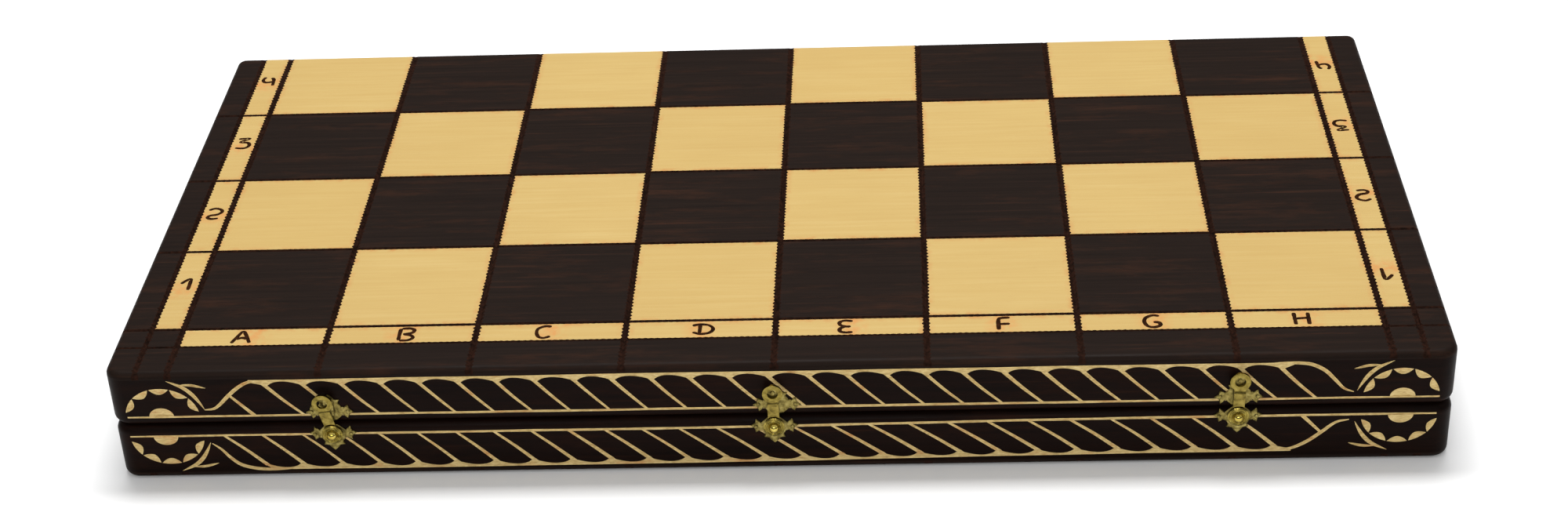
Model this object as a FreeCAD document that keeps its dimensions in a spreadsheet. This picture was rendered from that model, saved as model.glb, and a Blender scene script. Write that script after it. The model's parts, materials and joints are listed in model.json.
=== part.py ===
import FreeCAD, Part
import os
import re
import sys

import Sketcher

# Folding wooden chess case, closed: two shallow halves whose outer faces are the board, hinged at
# the back (+Y), held at the front (-Y) by three swing latches, with the chessmen packed inside.
# Millimetres, +Z up, origin at the middle of the footprint on the surface the case lies on.

DIMENSIONS = {
    # board and case
    "board_width": 576.0,  # along X
    "board_depth": 292.0,  # along Y, closed
    "square": 65.0,  # side of one chess square
    "front_border": 34.5,  # from the front face to the first row
    "strip": 14.0,  # width of the light strips that hold the coordinates
    "half_height": 27.3,  # one half of the case
    "part_gap": 0.4,  # between the two closed halves
    "board_thickness": 3.2,
    "rail_width": 12.0,
    "front_radius": 8.0,  # upright corners at the front
    "back_radius": 4.5,  # upright corners at the back
    "outer_round": 3.0,  # edge round of the board panels
    "part_round": 4.0,  # edge round of the rails at the parting line
    "groove_width": 2.2,  # burned V grooves between the squares
    "groove_depth": 1.2,
    # lining and tray
    "felt": 1.0,
    "divider": 5.0,
    "tray_height": 16.0,
    "lining_gap": 0.5,
    # hinges
    "hinge_spread": 175.0,  # from the middle of the case to each hinge
    "hinge_length": 50.0,
    "hinge_offset": 0.2,  # axis behind the back face
    "knuckle_radius": 2.5,
    "knuckle_gap": 0.3,
    "pin_radius": 1.0,
    "pin_play": 0.05,
    "leaf": 1.0,  # thickness
    "leaf_width": 10.5,
    "screw_head": 2.2,
    "screw_shank": 1.1,
    "screw_length": 10.0,
    # latches
    "left_latch_place": -192.0,  # of each latch along X; they are fitted by hand
    "middle_latch_place": -1.0,
    "right_latch_place": 196.5,
    "left_pivot_height": 23.5,  # of each latch pivot above the ground
    "middle_pivot_height": 23.7,
    "right_pivot_height": 25.2,
    "left_arm_reach": 16.8,  # from each pivot to the middle of its ring
    "middle_arm_reach": 17.7,
    "right_arm_reach": 18.4,
    "left_arm_tilt": 7.6,  # the left arm rests this far off its keeper, in degrees
    "plate_drop": 0.8,  # from a pivot down to its plate's middle
    "keeper_height": 34.5,  # from the ground to the middle of a keeper plate
    "middle_keeper_shift": 1.5,  # the middle keeper plate sits this far right of its latch
    "plate_reach": 10.3,  # from the middle of a plate to its side points
    "plate": 0.8,  # thickness
    "arm": 0.8,  # thickness
    "arm_gap": 0.3,
    "arm_width": 4.9,
    "arm_bend": 4.9,  # where the strap leaves its hub's plane, above the pivot
    "arm_crest": 12.6,  # where it stands out farthest, above the pivot
    "crest_rise": 0.7,
    "crest_back": 1.1,  # from the crest up to the flat ring
    "ring_overlap": 0.5,  # of the strap's end and the ring
    "ring": 1.1,  # thickness
    "ring_groove": 0.6,  # depth of the track for the stud behind the ring
    "ring_outer": 4.4,
    "ring_hole": 2.3,
    "hub_radius": 3.6,
    "rivet_radius": 1.25,
    "rivet_shaft": 4.0,  # depth in the rail
    "rivet_ring": 0.4,  # height of each of the cap's two steps
    "rivet_cap": 4.6,
    "rivet_dome": 2.3,
    "front_reach": 5.0,  # from the front face to the top of a rivet's dome
    "keeper_width": 4.2,
    "keeper_length": 8.6,
    "keeper_end": 1.6,  # beyond the stud
    "keeper_thickness": 1.2,
    "keeper_stud": 0.9,
    "stud_rise": 0.4,  # of the stud into the ring's hole
    "nail_head": 0.9,
    "nail_length": 6.0,
    "nail_dome": 0.5,
    # chessmen: heights and base diameters
    "king_height": 128.0,
    "king_base": 40.0,
    "queen_height": 116.0,
    "queen_base": 38.0,
    "bishop_height": 98.0,
    "bishop_base": 35.0,
    "knight_height": 88.0,
    "knight_base": 34.0,
    "rook_height": 78.0,
    "rook_base": 34.0,
    "pawn_height": 62.0,
    "pawn_base": 30.0,
    "base_felt": 0.8,
    "base_gap": 0.6,  # from a base's felt to the wall behind it
    "base_inset": 1.0,  # from a base's edge to its felt's edge
    "pawn_gap": 1.0,  # between the two pawns of a compartment
    "cross_width": 11.0,
    "cross_thickness": 3.6,
    "rook_slot": 4.0,
}
COLUMNS = 12  # compartments in each row of the tray
BOARD_COLUMNS, BOARD_ROWS = 8, 4
FRONT = "((front_reach - hinge_offset - knuckle_radius - board_depth) / 2)"
BACK = "((front_reach - hinge_offset - knuckle_radius + board_depth) / 2)"
LEFT = "(-board_width / 2)"
CLOSED_HEIGHT = "(2 * half_height + part_gap)"
UPPER_BOTTOM = "(half_height + part_gap)"
RAIL_HEIGHT = "(half_height - board_thickness)"
MID_HEIGHT = "(half_height + part_gap / 2)"
MIDDLE = "((front_reach - hinge_offset - knuckle_radius) / 2)"
FLOOR = "(board_thickness + felt)"
INNER_WIDTH = "(board_width - 2 * rail_width)"
INNER_DEPTH = "(board_depth - 2 * rail_width)"
PITCH = f"(({INNER_WIDTH} + divider) / {COLUMNS})"
SIDES = ("left", "middle", "right")
UPRIGHT_TO_FRONT = ((1, 0, 0), 90)  # turns a body's +Z to -Y
UPRIGHT_TO_BACK = ((1, 0, 0), -90)
TOLERANCE = 1e-6

os.makedirs("parts", exist_ok=True)
doc = FreeCAD.newDocument("ChessCase")
nodes = {}


def make_sheet():
    sheet = doc.addObject("Spreadsheet::Sheet", "Dims")
    for line, (name, size) in enumerate(DIMENSIONS.items(), 1):
        sheet.set(f"A{line}", name)
        sheet.set(f"B{line}", str(size))
        sheet.setAlias(f"B{line}", name)
    doc.recompute()
    return sheet


def formula(words):
    """An expression in which each of the sheet's names is written out as Dims.name."""
    return re.sub(
        r"[a-z]\w*", lambda m: f"Dims.{m[0]}" if m[0] in DIMENSIONS else m[0], str(words)
    )


def bind(thing, **sizes):
    for name, words in sizes.items():
        thing.setExpression(name, formula(words))


def place(thing, at=(0, 0, 0), turn=None):
    """Puts an object at a place given by formulas, turned about an axis by degrees."""
    if turn:
        axis, angle = turn
        thing.Placement = FreeCAD.Placement(
            FreeCAD.Vector(), FreeCAD.Rotation(FreeCAD.Vector(*axis), angle)
        )
    for letter, words in zip("xyz", at):
        thing.setExpression(f"Placement.Base.{letter}", formula(words))


def new_body(label, at=(0, 0, 0), turn=None, is_node=True):
    body = doc.addObject("PartDesign::Body", "Body")
    body.Label = label
    place(body, at, turn)
    if is_node:
        nodes[label] = body
    return body


def feature(body, kind, at=(0, 0, 0), turn=None, **sizes):
    """A PartDesign primitive, such as AdditiveBox or SubtractiveCylinder."""
    made = body.newObject("PartDesign::" + kind, kind)
    bind(made, **sizes)
    place(made, at, turn)
    return made


def outline(body, role, points):
    """A closed sketch on one of the body's own planes, each corner held by two formulas."""
    sketch = body.newObject("Sketcher::SketchObject", "Outline")
    plane = next(p for p in body.Origin.OriginFeatures if p.Role == role)
    sketch.AttachmentSupport = [(plane, "")]
    sketch.MapMode = "FlatFace"
    count = len(points)
    ring = [FreeCAD.Vector(i, (i * i) % 7, 0) for i in range(count)]
    sketch.addGeometry([Part.LineSegment(ring[i], ring[(i + 1) % count]) for i in range(count)])
    sketch.addConstraint(
        [Sketcher.Constraint("Coincident", i, 2, (i + 1) % count, 1) for i in range(count)]
    )
    for corner, place_words in enumerate(points):
        for kind, words in zip(("DistanceX", "DistanceY"), place_words):
            index = sketch.addConstraint(Sketcher.Constraint(kind, -1, 1, corner, 1, 1.0))
            sketch.setExpression(f"Constraints[{index}]", formula(words))
    return sketch


def pad(body, role, points, length, midplane=False):
    made = body.newObject("PartDesign::Pad", "Pad")
    made.Profile = outline(body, role, points)
    made.Midplane = midplane
    bind(made, Length=length)
    return made


def turned(body, points):
    """A solid of revolution about the body's Z from (radius, height) corners."""
    sketch = outline(body, "XZ_Plane", points)
    made = body.newObject("PartDesign::Revolution", "Turned")
    made.Profile = sketch
    made.ReferenceAxis = (sketch, ["V_Axis"])
    made.Angle = 360
    return made


def groove(body, role, middle, surface, downward):
    """A V groove along a straight line, cut right through; downward is the sign of its depth."""
    corners = [
        (f"{middle} - groove_width / 2", surface),
        (f"{middle} + groove_width / 2", surface),
        (middle, f"{surface} + {downward} * groove_depth"),
    ]
    cut = body.newObject("PartDesign::Pocket", "Groove")
    cut.Profile = outline(body, role, corners)
    cut.Type = "ThroughAll"
    cut.Midplane = True
    return cut


def round_edges(body, test, radius):
    """Rounds the edges of the body's tip whose middle passes a test."""
    doc.recompute()
    base = body.Tip
    names = []
    for number, edge in enumerate(base.Shape.Edges, 1):
        span = edge.BoundBox
        if test(edge.valueAt((edge.FirstParameter + edge.LastParameter) / 2), span):
            names.append(f"Edge{number}")
    made = body.newObject("PartDesign::Fillet", "Rounded")
    made.Base = (base, names)
    bind(made, Radius=radius)
    doc.recompute()
    return made


def is_upright(span):
    return span.XLength < TOLERANCE and span.YLength < TOLERANCE


def group(label, members):
    """Separate solids that share one node."""
    made = doc.addObject("Part::Compound", "Group")
    made.Label = label
    made.Links = members
    nodes[label] = made
    return made


# ---- the two halves of the case -----------------------------------------------------------------


def board_panel(half):
    """The grooved playing surface; the lower one faces down, the upper one faces up."""
    upper = half == "upper"
    bottom = f"{CLOSED_HEIGHT} - board_thickness" if upper else 0
    body = new_body(f"{half}_board", (LEFT, FRONT, bottom))
    feature(body, "AdditiveBox", Length="board_width", Width="board_depth", Height="board_thickness")
    depth = DIMENSIONS["board_depth"]
    round_edges(body, lambda p, span: is_upright(span) and p.y < depth / 2, "front_radius")
    round_edges(body, lambda p, span: is_upright(span) and p.y > depth - 1, "back_radius")
    outer = DIMENSIONS["board_thickness"] if upper else 0.0
    round_edges(body, lambda p, span: abs(p.z - outer) < TOLERANCE, "outer_round")
    surface, downward = ("board_thickness", -1) if upper else ("0", 1)
    side = BOARD_COLUMNS // 2
    columns = [f"board_width / 2 + ({n}) * square" for n in range(-side, side + 1)]
    columns += [f"board_width / 2 + ({sign}) * ({side} * square + strip)" for sign in (-1, 1)]
    rows = [f"front_border + {n} * square" for n in range(BOARD_ROWS)] + ["front_border - strip"]
    for middle in columns:
        groove(body, "XZ_Plane", middle, surface, downward)
    for middle in rows:
        groove(body, "YZ_Plane", middle, surface, downward)
    return body


def front_rail(half):
    body = new_body(f"{half}_front_rail", (LEFT, FRONT, rail_bottom(half)))
    feature(body, "AdditiveBox", Length="board_width", Width="rail_width", Height=RAIL_HEIGHT)
    round_edges(body, lambda p, span: is_upright(span) and p.y < 1, "front_radius")
    part = parting_level(half)
    inner = DIMENSIONS["rail_width"]
    round_edges(
        body, lambda p, span: abs(p.z - part) < TOLERANCE and p.y < inner - 0.1, "part_round"
    )


def back_rail(half):
    """Carries the hinges: a shallow mortise for each leaf and a round recess for its knuckles."""
    body = new_body(f"{half}_back_rail", (LEFT, f"{BACK} - rail_width", rail_bottom(half)))
    feature(body, "AdditiveBox", Length="board_width", Width="rail_width", Height=RAIL_HEIGHT)
    inner = DIMENSIONS["rail_width"]
    round_edges(body, lambda p, span: is_upright(span) and p.y > inner - 1, "back_radius")
    part = parting_level(half)
    round_edges(body, lambda p, span: abs(p.z - part) < TOLERANCE and p.y > 0.1, "part_round")
    mortise_low = "0" if half == "upper" else f"{RAIL_HEIGHT} - leaf"
    axis_height = "-part_gap / 2" if half == "upper" else f"{RAIL_HEIGHT} + part_gap / 2"
    for side in (-1, 1):
        start = f"board_width / 2 + {side} * hinge_spread - hinge_length / 2 - knuckle_gap"
        feature(
            body,
            "SubtractiveBox",
            (start, "rail_width - leaf_width - knuckle_gap", mortise_low),
            Length="hinge_length + 2 * knuckle_gap",
            Width="leaf_width + 2 * knuckle_gap",
            Height="leaf",
        )
        feature(
            body,
            "SubtractiveCylinder",
            (start, "rail_width + hinge_offset", axis_height),
            ((0, 1, 0), 90),
            Radius="knuckle_radius + knuckle_gap + pin_play",
            Height="hinge_length + 2 * knuckle_gap",
        )


def side_rail(half, side):
    inner_edge = "board_width / 2 - rail_width" if side == "right" else LEFT
    at = (inner_edge, f"{FRONT} + rail_width", rail_bottom(half))
    body = new_body(f"{half}_{side}_rail", at)
    feature(body, "AdditiveBox", Length="rail_width", Width=INNER_DEPTH, Height=RAIL_HEIGHT)
    part = parting_level(half)
    outer = DIMENSIONS["rail_width"] if side == "right" else 0.0
    round_edges(
        body,
        lambda p, span: abs(p.z - part) < TOLERANCE and abs(p.x - outer) < TOLERANCE,
        "part_round",
    )


def rail_bottom(half):
    return UPPER_BOTTOM if half == "upper" else "board_thickness"


def parting_level(half):
    """Height of the parting face above a rail's own bottom."""
    upper = half == "upper"
    return 0.0 if upper else DIMENSIONS["half_height"] - DIMENSIONS["board_thickness"]


def lining(half):
    bottom = f"{CLOSED_HEIGHT} - board_thickness - felt" if half == "upper" else "board_thickness"
    corner = (f"{LEFT} + rail_width + lining_gap", f"{FRONT} + rail_width + lining_gap", bottom)
    body = new_body(f"{half}_felt_lining", corner)
    feature(
        body,
        "AdditiveBox",
        Length=f"{INNER_WIDTH} - 2 * lining_gap",
        Width=f"{INNER_DEPTH} - 2 * lining_gap",
        Height="felt",
    )


def tray():
    """One long divider along X and a row of cross dividers on each side of it."""
    body = new_body("long_divider", (f"-{INNER_WIDTH} / 2", f"{MIDDLE} - divider / 2", FLOOR))
    feature(body, "AdditiveBox", Length=INNER_WIDTH, Width="divider", Height="tray_height")
    members = []
    for number in range(1, COLUMNS):
        for start in (f"{MIDDLE} - {INNER_DEPTH} / 2", f"{MIDDLE} + divider / 2"):
            slat = doc.addObject("Part::Box", "Slat")
            bind(slat, Length="divider", Width=f"({INNER_DEPTH} - divider) / 2", Height="tray_height")
            place(slat, (f"({number - COLUMNS // 2}) * {PITCH} - divider / 2", start, FLOOR))
            members.append(slat)
    group("cross_dividers", members)


# ---- hinges -------------------------------------------------------------------------------------

KNUCKLES = 5
KNUCKLE = f"((hinge_length - {KNUCKLES - 1} * knuckle_gap) / {KNUCKLES})"
SCREWS_PER_LEAF = 3
SCREW_INSET = "6.2"  # from the axis to the line of screws
AXIS_AT = (f"{BACK} + hinge_offset", MID_HEIGHT)


def hinge_leaf(side, half):
    """A plate with every other knuckle; body frame at the hinge's axis and the leaf's left end."""
    across = -1 if side == "left" else 1
    start = f"{across} * hinge_spread - hinge_length / 2"
    body = new_body(f"{side}_hinge_{half}_leaf", (start, *AXIS_AT))
    upper = half == "upper"
    low = "part_gap / 2" if upper else "-part_gap / 2 - leaf"
    feature(
        body,
        "AdditiveBox",
        (0, "-leaf_width - hinge_offset", low),
        Length="hinge_length",
        Width="leaf_width + hinge_offset - pin_radius - pin_play - 0.5",
        Height="leaf",
    )
    own = [n for n in range(KNUCKLES) if (n % 2 == 1) == upper]
    for number in range(KNUCKLES):
        left = f"{number} * ({KNUCKLE} + knuckle_gap)"
        if number in own:
            barrel = dict(Radius="knuckle_radius", Height=KNUCKLE)
            feature(body, "AdditiveCylinder", (left, 0, 0), ((0, 1, 0), 90), **barrel)
        else:
            feature(
                body,
                "SubtractiveBox",
                (f"{left} - knuckle_gap", "-knuckle_radius - knuckle_gap", f"{low} - leaf"),
                Length=f"{KNUCKLE} + 2 * knuckle_gap",
                Width="knuckle_radius + knuckle_gap",
                Height="3 * leaf",
            )
    bore = dict(Radius="pin_radius + pin_play", Height="hinge_length + 2 * leaf")
    feature(body, "SubtractiveCylinder", ("-leaf", 0, 0), ((0, 1, 0), 90), **bore)
    for screw in range(SCREWS_PER_LEAF):
        at = (screw_place(screw), f"-{SCREW_INSET}", f"{low} - leaf")
        shank = dict(Radius="screw_shank + pin_play", Height="3 * leaf")
        feature(body, "SubtractiveCylinder", at, **shank)
        narrow, wide = "screw_shank + pin_play", "screw_head + pin_play"
        sizes = (wide, narrow) if upper else (narrow, wide)
        at = (at[0], at[1], low)
        feature(body, "SubtractiveCone", at, Radius1=sizes[0], Radius2=sizes[1], Height="leaf")


def screw_place(number):
    return f"hinge_length * {2 * number + 1} / {2 * SCREWS_PER_LEAF}"


def hinge_pin(side):
    across = -1 if side == "left" else 1
    at = (f"{across} * hinge_spread - hinge_length / 2", *AXIS_AT)
    body = new_body(f"{side}_hinge_pin", at, ((0, 1, 0), 90))
    feature(body, "AdditiveCylinder", Radius="pin_radius", Height="hinge_length")


def hinge_screws(half):
    """Countersunk screws, their flat heads level with the leaf's free face."""
    members = []
    upper = half == "upper"
    head_level = f"{MID_HEIGHT} + part_gap / 2" if upper else f"{MID_HEIGHT} - part_gap / 2"
    for across in (-1, 1):
        for number in range(SCREWS_PER_LEAF):
            left = f"{across} * hinge_spread - hinge_length / 2 + {screw_place(number)}"
            at = (left, f"{AXIS_AT[0]} - {SCREW_INSET}", head_level)
            body = new_body("Screw", at, None if upper else ((1, 0, 0), 180), is_node=False)
            turned(
                body,
                [
                    (0, 0),
                    ("screw_head", 0),
                    ("screw_shank", "leaf"),
                    ("screw_shank", "screw_length - 2"),
                    (0, "screw_length"),
                ],
            )
            members.append(body)
    group(f"{half}_hinge_screws", members)


# ---- latches ------------------------------------------------------------------------------------

# Half of a latch plate's outline from its round end to its pointed end, as shares of plate_reach.
PLATE_OUTLINE = [
    (0.25, 0.45), (0.43, 0.29), (0.54, 0.18), (0.75, 0.37), (0.82, 0.15), (1.0, 0.05),
    (0.84, -0.09), (0.78, -0.31), (0.6, -0.18), (0.48, -0.23), (0.39, -0.39), (0.45, -0.56),
    (0.24, -0.58), (0.15, -0.7),
]
PLATE_ROUND_END, PLATE_POINT = 0.485, -0.85
NAIL_ACROSS = "(plate_reach * 0.77)"


def plate_middle(side, half):
    """Place along X and height of a latch plate or keeper plate."""
    if half == "lower":
        return f"{side}_latch_place", f"{side}_pivot_height - plate_drop"
    shift = " + middle_keeper_shift" if side == "middle" else ""
    return f"{side}_latch_place{shift}", "keeper_height"


def latch_plate(side, half):
    """A pressed ornamental plate; the upper one points up, the lower one points down."""
    upper = half == "upper"
    across, height = plate_middle(side, half)
    label = f"{side}_keeper_plate" if upper else f"{side}_latch_plate"
    body = new_body(label, (across, FRONT, height))
    sign = -1 if upper else 1
    left = [(-across, along) for across, along in reversed(PLATE_OUTLINE)]
    shares = [(0, PLATE_ROUND_END), *PLATE_OUTLINE, (0, PLATE_POINT), *left]
    corners = [(f"{x} * plate_reach", f"{sign * y} * plate_reach") for x, y in shares]
    pad(body, "XZ_Plane", corners, "plate")
    if not upper:
        hole = dict(Radius="rivet_radius + pin_play", Height="3 * plate")
        feature(body, "SubtractiveCylinder", (0, "plate", "plate_drop"), UPRIGHT_TO_FRONT, **hole)
    for sign in (-1, 1):
        hole = dict(Radius="nail_head / 2 + pin_play", Height="3 * plate")
        at = (f"{sign} * {NAIL_ACROSS}", "plate", 0)
        feature(body, "SubtractiveCylinder", at, UPRIGHT_TO_FRONT, **hole)


def latch_nails(half):
    members = []
    for side in SIDES:
        across, height = plate_middle(side, half)
        for sign in (-1, 1):
            at = (f"{across} + {sign} * {NAIL_ACROSS}", f"{FRONT} + nail_length", height)
            body = new_body("Nail", at, UPRIGHT_TO_FRONT, is_node=False)
            turned(
                body,
                [
                    (0, 0),
                    ("nail_head / 2", 1),
                    ("nail_head / 2", "nail_length + plate"),
                    ("nail_head", "nail_length + plate"),
                    ("nail_head * 0.7", "nail_length + plate + nail_dome * 0.8"),
                    (0, "nail_length + plate + nail_dome"),
                ],
            )
            members.append(body)
    group(f"{half}_latch_nails", members)


def latch_rivet(side):
    """The pivot: a shaft through plate and arm, a ringed cap and a round dome."""
    at = (f"{side}_latch_place", f"{FRONT} + rivet_shaft", f"{side}_pivot_height")
    body = new_body(f"{side}_latch_rivet", at, UPRIGHT_TO_FRONT)
    under_cap = "rivet_shaft + plate + arm + 2 * arm_gap"
    turned(
        body,
        [
            (0, 0),
            ("rivet_radius", 0),
            ("rivet_radius", under_cap),
            ("rivet_cap", under_cap),
            ("rivet_cap", f"{under_cap} + rivet_ring"),
            ("rivet_cap * 0.7", f"{under_cap} + 2 * rivet_ring"),
            (0, f"{under_cap} + 2 * rivet_ring"),
        ],
    )
    dome_middle = "rivet_shaft + front_reach - rivet_dome"
    feature(body, "AdditiveSphere", (0, 0, dome_middle), Radius="rivet_dome", Angle1=0)


def keeper(side):
    """A raised tab on the upper plate with a low stud, which the arm's ring hooks."""
    stud_height = f"{side}_pivot_height + {side}_arm_reach"
    body = new_body(f"{side}_keeper", (f"{side}_latch_place", f"{FRONT} - plate", stud_height))
    feature(
        body,
        "AdditiveBox",
        ("-keeper_width / 2", "-keeper_thickness", "keeper_end - keeper_length"),
        Length="keeper_width",
        Width="keeper_thickness",
        Height="keeper_length",
    )
    feature(
        body,
        "AdditiveCylinder",
        (0, 0, 0),
        UPRIGHT_TO_FRONT,
        Radius="keeper_stud",
        Height="keeper_thickness + arm_gap + stud_rise",
    )


def latch_arm(side):
    """A bent strap with a round hub below and a ring above, grooved behind for the stud."""
    tilt = DIMENSIONS["left_arm_tilt"] if side == "left" else 0
    at = (f"{side}_latch_place", FRONT, f"{side}_pivot_height")
    body = new_body(f"{side}_latch_arm", at, ((0, 1, 0), -tilt))
    low = "-(plate + arm_gap)"
    high = "-(plate + keeper_thickness + arm_gap)"
    ring_middle = f"{side}_arm_reach"
    strap_end = f"{ring_middle} - ring_hole - ring_overlap"
    strap = [
        (low, 0),
        (f"{low} - arm", 0),
        (f"{low} - arm", "arm_bend"),
        (f"{high} - arm - crest_rise", "arm_crest"),
        (f"{high} - arm", "arm_crest + crest_back"),
        (f"{high} - arm", strap_end),
        (high, strap_end),
        (high, "arm_crest + crest_back * 0.8"),
        (f"{high} - crest_rise", "arm_crest"),
        (low, "arm_bend + arm / 2"),
    ]
    pad(body, "YZ_Plane", strap, "arm_width", midplane=True)
    disc = dict(Radius="hub_radius", Height="arm")
    feature(body, "AdditiveCylinder", (0, low, 0), UPRIGHT_TO_FRONT, **disc)
    disc = dict(Radius="ring_outer", Height="ring")
    feature(body, "AdditiveCylinder", (0, high, ring_middle), UPRIGHT_TO_FRONT, **disc)
    hole = dict(Radius="rivet_radius + pin_play", Height="4 * arm")
    feature(body, "SubtractiveCylinder", (0, 0, 0), UPRIGHT_TO_FRONT, **hole)
    hole = dict(Radius="ring_hole", Height="4 * arm")
    at = (0, f"{high} + arm", ring_middle)
    feature(body, "SubtractiveCylinder", at, UPRIGHT_TO_FRONT, **hole)
    # The stud runs behind the ring's right side on an arc about the pivot.
    steps, step_angle = 4, 4.5
    for number in range(steps):
        angle = (number + 1) * step_angle
        slot = feature(
            body,
            "SubtractiveBox",
            turn=((0, 1, 0), angle),
            Length="2 * keeper_stud + 2 * arm_gap",
            Width="2 * arm",
            Height="2 * (keeper_stud + arm_gap)",
        )
        turn = f"{angle} * 1 deg"
        reach = f"({ring_middle} - keeper_stud - arm_gap)"
        place(slot, (f"{reach} * sin({turn})", f"{high} - ring_groove", f"{reach} * cos({turn})"))


# ---- chessmen -----------------------------------------------------------------------------------

# Turned outlines: (share of the base's radius, share of the height), from the base up.
FOOT = [(0, 0), (1, 0), (1, 0.05), (0.86, 0.1), (0.8, 0.15), (0.55, 0.2)]
PROFILES = {
    "king": FOOT + [(0.36, 0.42), (0.34, 0.58), (0.6, 0.62), (0.42, 0.66), (0.62, 0.86), (0, 0.9)],
    "queen": FOOT + [(0.36, 0.42), (0.34, 0.6), (0.6, 0.64), (0.42, 0.68), (0.66, 0.92), (0, 0.94)],
    "bishop": FOOT + [(0.34, 0.4), (0.32, 0.58), (0.6, 0.63), (0.4, 0.66), (0.54, 0.76), (0, 0.96)],
    "knight": FOOT + [(0.62, 0.24), (0.7, 0.3), (0, 0.3)],
    "rook": FOOT + [(0.48, 0.45), (0.46, 0.66), (0.72, 0.72), (0.72, 1.0), (0, 1.0)],
    "pawn": FOOT + [(0.4, 0.36), (0.32, 0.58), (0.62, 0.63), (0.36, 0.67), (0, 0.67)],
}
# A horse's head seen from its side: (share of the base's radius, share of the height).
HORSE_HEAD = [
    (-0.6, 0.28), (0.62, 0.28), (0.45, 0.46), (0.3, 0.55), (0.8, 0.5), (1.0, 0.58), (0.86, 0.72),
    (0.45, 0.86), (0.2, 1.0), (0.02, 0.9), (-0.35, 0.84), (-0.66, 0.66), (-0.7, 0.45),
]
# The tray's columns from left to right.
ORDER = ["pawn", "pawn", "rook", "knight", "bishop", "queen"]
ORDER += ["king", "bishop", "knight", "rook", "pawn", "pawn"]


def chessman(kind, label, at, turn, is_node):
    body = new_body(label, at, turn, is_node)
    height, radius = f"{kind}_height", f"{kind}_base / 2"
    points = [(f"{radius} * {across}", f"{height} * {up}") for across, up in PROFILES[kind]]
    turned(body, points)
    if kind == "pawn":
        ball = "pawn_base * 0.26"
        feature(body, "AdditiveSphere", (0, 0, f"{height} - {ball}"), Radius=ball)
    if kind == "queen":
        ball = "queen_base * 0.12"
        feature(body, "AdditiveSphere", (0, 0, f"{height} - {ball}"), Radius=ball)
    if kind == "bishop":
        ball = "bishop_base * 0.09"
        feature(body, "AdditiveSphere", (0, 0, f"{height} - {ball}"), Radius=ball)
    if kind == "king":
        for wide, low, tall in (("cross_thickness", 0.88, 0.12), ("cross_width", 0.93, 0.03)):
            feature(
                body,
                "AdditiveBox",
                (f"-{wide} / 2", "-cross_thickness / 2", f"{height} * {low}"),
                Length=wide,
                Width="cross_thickness",
                Height=f"{height} * {tall}",
            )
    if kind == "rook":
        cup = dict(Radius=f"{radius} * 0.46", Height=f"{height} * 0.2")
        feature(body, "SubtractiveCylinder", (0, 0, f"{height} * 0.9"), **cup)
        for angle in (0, 90):
            start, half = f"-{radius} * 2", "rook_slot / 2"
            at = (start, f"-{half}") if angle == 0 else (half, start)
            slot = dict(Length=f"{radius} * 4", Width="rook_slot", Height=f"{height} * 0.2")
            feature(body, "SubtractiveBox", (*at, f"{height} * 0.92"), ((0, 0, 1), angle), **slot)
    if kind == "knight":
        head = [(f"{radius} * {across}", f"{height} * {up}") for across, up in HORSE_HEAD]
        pad(body, "XZ_Plane", head, f"{radius} * 0.8", midplane=True)
    return body


def chess_army(colour):
    """White lies in the front row and black in the back row, bases towards the middle."""
    sign = -1 if colour == "white" else 1
    turn = UPRIGHT_TO_FRONT if colour == "white" else UPRIGHT_TO_BACK
    pawns, felts = [], []
    for column, kind in enumerate(ORDER):
        across = f"({column - (COLUMNS - 1) / 2}) * {PITCH}"
        up = f"{FLOOR} + {kind}_base / 2"
        twins = ORDER.count(kind) == 2
        side = "left_" if column < COLUMNS // 2 else "right_"
        label = f"{colour}_{side if twins else ''}{kind}"
        for place_in_cell in range(2 if kind == "pawn" else 1):
            step = f"{place_in_cell} * (pawn_height + base_felt + pawn_gap)"
            start = f"{MIDDLE} + ({sign}) * (divider / 2 + base_gap + {step})"
            at = (across, f"{start} + ({sign}) * base_felt", up)
            is_pawn = kind == "pawn"
            man = chessman(kind, "Pawn" if is_pawn else label, at, turn, not is_pawn)
            if is_pawn:
                pawns.append(man)
            disc = doc.addObject("Part::Cylinder", "Baize")
            bind(disc, Radius=f"{kind}_base / 2 - base_inset", Height="base_felt")
            place(disc, (across, start, up), turn)
            felts.append(disc)
    group(f"{colour}_pawns", pawns)
    group(f"{colour}_base_felts", felts)


# ---- assembly -----------------------------------------------------------------------------------


def failures():
    """Every object that did not compute, and every sub-part without one sound shape."""
    bad = [o.Name for o in doc.Objects if {"Invalid", "Error"} & set(o.State)]
    for label, thing in nodes.items():
        if thing.Shape.isNull() or not thing.Shape.isValid() or thing.Shape.Volume < TOLERANCE:
            bad.append(label)
    return bad


make_sheet()
for half_name in ("lower", "upper"):
    board_panel(half_name)
    front_rail(half_name)
    back_rail(half_name)
    for side_name in ("left", "right"):
        side_rail(half_name, side_name)
        hinge_leaf(side_name, half_name)
    lining(half_name)
    hinge_screws(half_name)
    latch_nails(half_name)
    for side_name in SIDES:
        latch_plate(side_name, half_name)
tray()
for side_name in ("left", "right"):
    hinge_pin(side_name)
for side_name in SIDES:
    latch_rivet(side_name)
    keeper(side_name)
    latch_arm(side_name)
for colour_name in ("white", "black"):
    chess_army(colour_name)
doc.recompute()

failed = failures()
if failed:
    sys.exit("not built: " + ", ".join(failed))
for node, thing in nodes.items():
    thing.Shape.exportStep(f"parts/{node}.step")
print(len(nodes), "sub-parts")
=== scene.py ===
import json
import math

import bmesh
import bpy
import numpy as np
from mathutils import Matrix, Vector, kdtree, noise
from mathutils.geometry import delaunay_2d_cdt

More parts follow.
